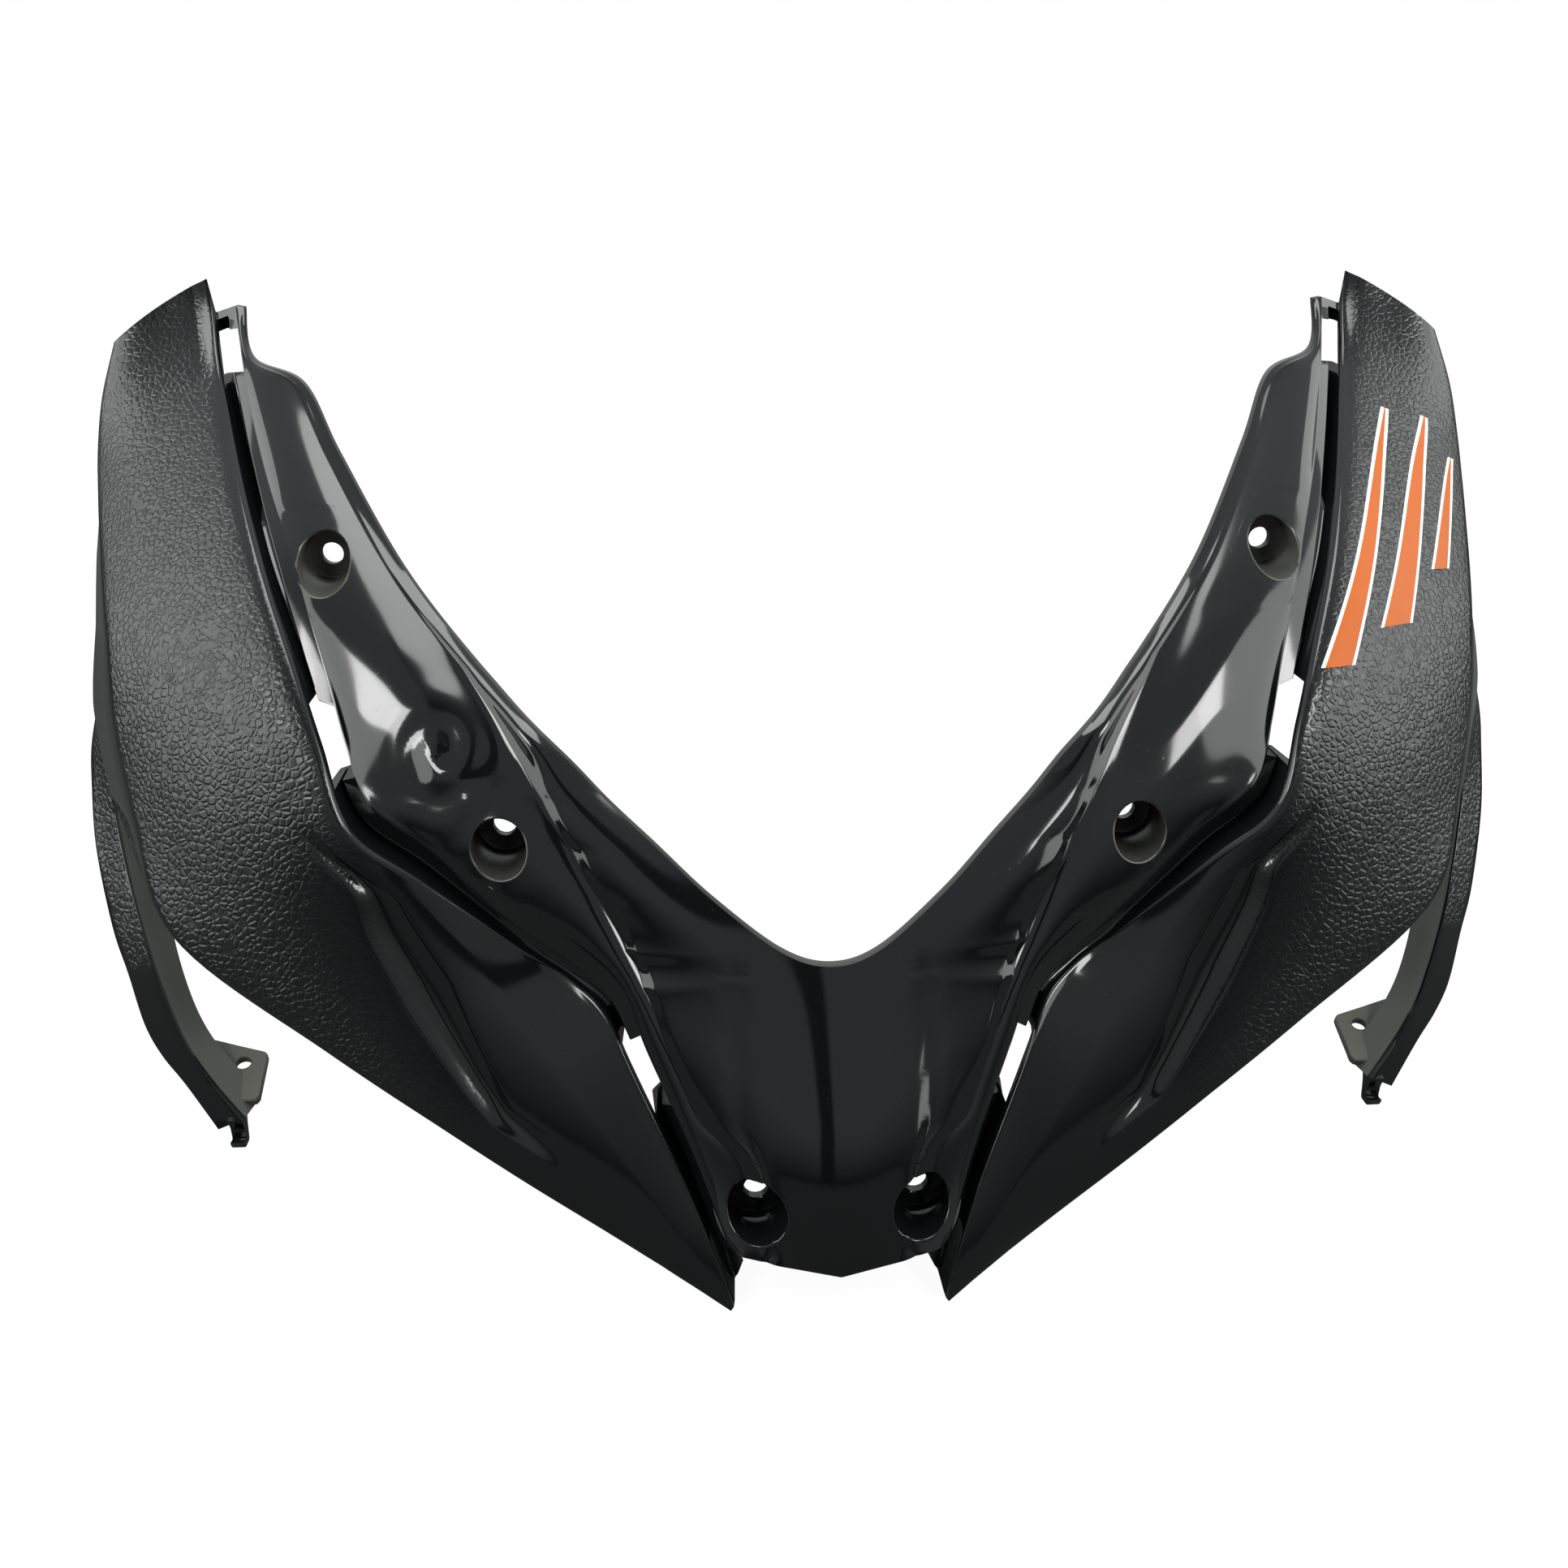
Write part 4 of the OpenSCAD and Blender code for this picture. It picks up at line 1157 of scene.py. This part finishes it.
@dataclass(frozen=True)
class MouldedPlastic:
    """Black moulding: mirror smooth where the tool was polished, leather grained where it was etched."""

    name: str = "moulded_black_plastic"
    colour: str = "#0c0e0f"
    ior: float = 1.5
    polished: float = 0.07
    grained: float = 0.33
    bare_and_lit_colour: str = "#54544c"
    bare: float = 0.55
    cell_mm: float = 2.0
    cell_bend_mm: float = 1.2
    valley: float = 0.26
    grain_height_mm: float = 0.15
    fleck_mm: float = 1.2
    haze_mm: float = 45.0

    def make(self) -> bpy.types.Material:
        """Makes the material.

        Returns:
            A material that reads two point values: grain, from 0 for polished to 1 for full leather grain,
            and matte, from 0 for finished to 1 for bare. Its bare grey-brown is painted light on the well
            pockets.
        """
        mat, tree, out = blank_material(self.name)
        share = add_node(tree, "ShaderNodeAttribute", attribute_name="grain").outputs["Fac"]
        place = add_node(tree, "ShaderNodeTexCoord").outputs["Object"]
        # Leather grain: rounded pads about cell_mm across, with narrow valleys between them
        bend = noise(tree, place, 9.0).outputs["Color"]
        shift = add_node(tree, "ShaderNodeVectorMath", {0: bend, 1: (self.cell_bend_mm * MM,) * 3},
                         operation="MULTIPLY")
        moved = add_node(tree, "ShaderNodeVectorMath", {0: place, 1: shift.outputs[0]}, operation="ADD")
        pads = add_node(tree, "ShaderNodeTexVoronoi", {
            "Vector": moved.outputs[0], "Scale": 1000 / self.cell_mm, "Randomness": 0.9},
            feature="DISTANCE_TO_EDGE")
        height = remap(tree, pads.outputs["Distance"], (0.0, self.valley), (0.0, 1.0), "SMOOTHSTEP")
        etched = calculate(tree, "MULTIPLY", height, calculate(tree, "POWER", share, 2.0))
        bump = add_node(tree, "ShaderNodeBump", {"Height": etched, "Strength": 1.0,
                                                "Distance": self.grain_height_mm * MM})
        # Polished faces have a faint haze and a dusting of fine matt flecks
        dust = noise(tree, place, self.fleck_mm, detail=3.0, roughness=0.7)
        fleck = remap(tree, dust.outputs["Fac"], (0.66, 0.74), (0.0, 0.22))
        haze = noise(tree, place, self.haze_mm).outputs["Fac"]
        clean = remap(tree, haze, (0.4, 0.7), (self.polished, self.polished + 0.05))
        rough = add_node(tree, "ShaderNodeMix", {
            "Factor": share, "A": calculate(tree, "ADD", clean, fleck), "B": self.grained}, data_type="FLOAT")
        # The tool was left unpolished on the backs and tabs, so they scatter light and look greyish brown.
        # The same grey-brown on the pockets of the upper screw wells is painted light, standing in for the
        # brightness of their lit walls.
        matte_and_lit = add_node(tree, "ShaderNodeAttribute", attribute_name="matte_and_lit").outputs["Fac"]
        dull = add_node(tree, "ShaderNodeMix", {"Factor": matte_and_lit, "A": rough.outputs[0], "B": self.bare},
                        data_type="FLOAT")
        shade = add_node(tree, "ShaderNodeMix", {
            0: matte_and_lit, 6: linear(self.colour), 7: linear(self.bare_and_lit_colour)}, data_type="RGBA")
        shader = add_node(tree, "ShaderNodeBsdfPrincipled", {
            "Base Color": shade.outputs[2], "IOR": self.ior, "Roughness": dull.outputs[0],
            "Normal": bump.outputs[0]})
        tree.links.new(shader.outputs[0], out.inputs["Surface"])
        return mat


@dataclass(frozen=True)
class PrintedVinyl:
    """Satin printed vinyl film: flat solid colour with weak reflections, which follows the grain faintly."""

    name: str
    colour: str
    roughness: float = 0.35
    ior: float = 1.46
    shine: float = 0.2
    grain_mm: float = 2.6
    grain_height_mm: float = 0.05
    ink_mm: float = 3.0

    def make(self) -> bpy.types.Material:
        """Makes the material.

        Returns:
            The film's material.
        """
        mat, tree, out = blank_material(self.name)
        place = add_node(tree, "ShaderNodeTexCoord").outputs["Object"]
        pads = add_node(tree, "ShaderNodeTexVoronoi", {"Vector": place, "Scale": 1000 / self.grain_mm},
                        feature="SMOOTH_F1")
        bump = add_node(tree, "ShaderNodeBump", {"Height": pads.outputs["Distance"], "Strength": 0.25,
                                                "Distance": self.grain_height_mm * MM}, invert=True)
        shade = remap(tree, noise(tree, place, self.ink_mm).outputs["Fac"], (0.0, 1.0), (0.96, 1.03))
        tone = add_node(tree, "ShaderNodeVectorMath", {0: linear(self.colour)[:3], "Scale": shade},
                        operation="SCALE")
        shader = add_node(tree, "ShaderNodeBsdfPrincipled", {
            "Base Color": tone.outputs[0], "IOR": self.ior, "Specular IOR Level": self.shine,
            "Roughness": self.roughness, "Normal": bump.outputs[0]})
        tree.links.new(shader.outputs[0], out.inputs["Surface"])
        return mat


@dataclass(frozen=True)
class Lamp:
    """A soft rectangular lamp."""

    name: str
    place: tuple[float, float, float]
    size: tuple[float, float]
    watts: float

    def hang(self, name: str, side: float, aim: tuple[float, float, float]) -> None:
        """Hangs the lamp.

        Args:
            name: the name it gets.
            side: 1 where it was drawn, -1 for its mirror image.
            aim: the point it faces.
        """
        data = bpy.data.lights.new(name, "AREA")
        data.shape = "RECTANGLE"
        data.size, data.size_y = self.size
        data.energy = self.watts
        obj = bpy.data.objects.new(name, data)
        place = Vector((self.place[0] * side, *self.place[1:]))
        turn = (Vector(aim) - place).to_track_quat("-Z", "Y").to_matrix().to_4x4()
        obj.matrix_world = Matrix.Translation(place) @ turn
        bpy.context.scene.collection.objects.link(obj)


@dataclass
class Studio:
    """The plain pale room: camera, lamps, world and floor."""

    floor_z: float = -0.0285
    floor_half: float = 3.0
    floor_shade: str = "#585858"
    paper_glow: tuple[float, float] = (0.93, 1.0)
    paper_reach: tuple[float, float] = (0.25, 0.9)
    dark_way: tuple[float, float, float] = (0.0, -0.906, 0.423)
    dark_deg: tuple[float, float] = (50.0, 74.0)
    dark_level: float = 0.5
    room_level: float = 0.95
    low_level: float = 0.07
    low_rise: float = 0.42
    stand_x: tuple[float, float] = (-0.14, 0.0)
    stand_edge: float = 0.03
    tint: str = "#eef7f5"
    aim: tuple[float, float, float] = (0.0, 0.08, 0.09)
    pair: tuple[Lamp, ...] = (Lamp("soft_wall", (1.08, -0.12, 0.62), (1.0, 1.1), 11),
                              Lamp("spot", (0.70, -0.50, 0.90), (0.3, 0.3), 4))
    overhead: Lamp = Lamp("overhead", (0.0, 0.1, 1.3), (0.5, 0.5), 5)

    def camera(self) -> None:
        """Sets the camera at the photograph's viewing angle."""
        cam = bpy.data.objects.new("camera", bpy.data.cameras.new("camera"))
        cam.data.lens = CAMERA_LENS_MM
        cam.data.sensor_width = 36.0
        cam.data.sensor_fit = "HORIZONTAL"
        cam.data.clip_start = 0.01
        turn = Matrix((CAMERA_RIGHT, CAMERA_UP, CAMERA_BACK)).transposed().to_4x4()
        cam.matrix_world = Matrix.Translation(CAMERA_PLACE) @ turn
        bpy.context.scene.collection.objects.link(cam)
        bpy.context.scene.camera = cam

    def lamps(self) -> None:
        """Hangs the mirrored pair on each side and the lamp overhead."""
        for side in Side:
            for lamp in self.pair:
                lamp.hang(f"{lamp.name}_{side.name.lower()}", side.value, self.aim)
        self.overhead.hang(self.overhead.name, 1.0, self.aim)

    def world(self) -> None:
        """White to the camera; to the object a pale room that is darker round the camera."""
        world = bpy.data.worlds.new("room")
        bpy.context.scene.world = world
        world.use_nodes = True
        tree = world.node_tree
        tree.nodes.clear()
        out = add_node(tree, "ShaderNodeOutputWorld")
        way = add_node(tree, "ShaderNodeTexCoord").outputs["Generated"]
        facing = add_node(tree, "ShaderNodeVectorMath", {0: way, 1: self.dark_way}, operation="DOT_PRODUCT")
        facing = facing.outputs["Value"]
        near, far = (float(v) for v in np.cos(np.radians(self.dark_deg)))
        level = remap(tree, facing, (far, near), (self.room_level, self.dark_level), "SMOOTHSTEP")
        # The camera's dark stand shows as a narrow upright band, a little to its left
        parts = add_node(tree, "ShaderNodeSeparateXYZ", {0: way})
        left, right = self.stand_x
        half = (right - left) / 2
        off = calculate(tree, "SUBTRACT", parts.outputs["X"], (left + right) / 2)
        clear = remap(tree, calculate(tree, "ABSOLUTE", off), (half, half + self.stand_edge), (0.0, 1.0))
        behind = remap(tree, facing, (0.5, 0.8), (1.0, 0.0))
        # Low down the room is dim, as beyond the edge of a white table
        low = remap(tree, parts.outputs["Z"], (0.0, self.low_rise), (self.low_level, 1.0))
        strength = calculate(tree, "MULTIPLY", calculate(tree, "MULTIPLY", level, low),
                             calculate(tree, "MAXIMUM", clear, behind))
        room = add_node(tree, "ShaderNodeBackground", {"Color": linear(self.tint), "Strength": strength})
        white = add_node(tree, "ShaderNodeBackground", {"Color": (1, 1, 1, 1), "Strength": 1.0})
        both = add_node(tree, "ShaderNodeMixShader", {
            0: seen_directly(tree), 1: room.outputs[0], 2: white.outputs[0]})
        tree.links.new(both.outputs[0], out.inputs["Surface"])

    def floor(self) -> bpy.types.Object:
        """Lays the pale floor under the object.

        Returns:
            The floor's object.
        """
        s = self.floor_half
        mesh = bpy.data.meshes.new("floor")
        corners = [(x, y, self.floor_z) for x, y in ((-s, -s), (s, -s), (s, s), (-s, s))]
        mesh.from_pydata(corners, [], [(0, 1, 2, 3)])
        obj = bpy.data.objects.new("floor", mesh)
        bpy.context.scene.collection.objects.link(obj)
        mat, tree, out = blank_material("pale_paper")
        # The paper glows white to the camera only, and its grey face reflects and takes a faint shadow
        place = add_node(tree, "ShaderNodeTexCoord").outputs["Object"]
        away = add_node(tree, "ShaderNodeVectorMath", {0: place}, operation="LENGTH").outputs["Value"]
        glow = calculate(tree, "MULTIPLY", seen_directly(tree),
                         remap(tree, away, self.paper_reach, self.paper_glow))
        paper = add_node(tree, "ShaderNodeBsdfDiffuse", {"Color": linear(self.floor_shade)})
        white = add_node(tree, "ShaderNodeEmission", {"Color": (1, 1, 1, 1), "Strength": glow})
        both = add_node(tree, "ShaderNodeAddShader", {0: paper.outputs[0], 1: white.outputs[0]})
        tree.links.new(both.outputs[0], out.inputs["Surface"])
        mesh.materials.append(mat)
        return obj


def main() -> None:
    """Builds the studio and the object's pieces in order."""
    bpy.context.scene.view_settings.view_transform = "Standard"
    studio = Studio()
    studio.camera()
    studio.world()
    studio.floor()
    studio.lamps()
    plastic = MouldedPlastic().make()
    shell = FairingShell().build()
    pieces = [(shell, "fairing_shell", "shell_plastic", plastic)]
    for side in Side:
        pieces.append((BracketArm().build(side), "fairing_shell", "shell_plastic", plastic))
    graphic = WingGraphic()
    pale = graphic.bars("wing_bars_pale", graphic.outline, graphic.pale_lift)
    pieces.append((pale, "wing_decal", "printed_vinyl", PrintedVinyl("pale_vinyl", "#f2f2f2").make()))
    orange = graphic.bars("wing_bars_orange", 0.0, graphic.orange_lift)
    pieces.append((orange, "wing_decal", "printed_vinyl", PrintedVinyl("orange_vinyl", "#b85808").make()))
    for obj, node, slot, material in pieces:
        obj.data.materials.append(material)
        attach(obj, "root")
        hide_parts(node)
        log.info("%s: %d faces", obj.name, len(obj.data.polygons))


if __name__ == "__main__":
    logging.basicConfig(level=logging.INFO, format="%(message)s")
    main()
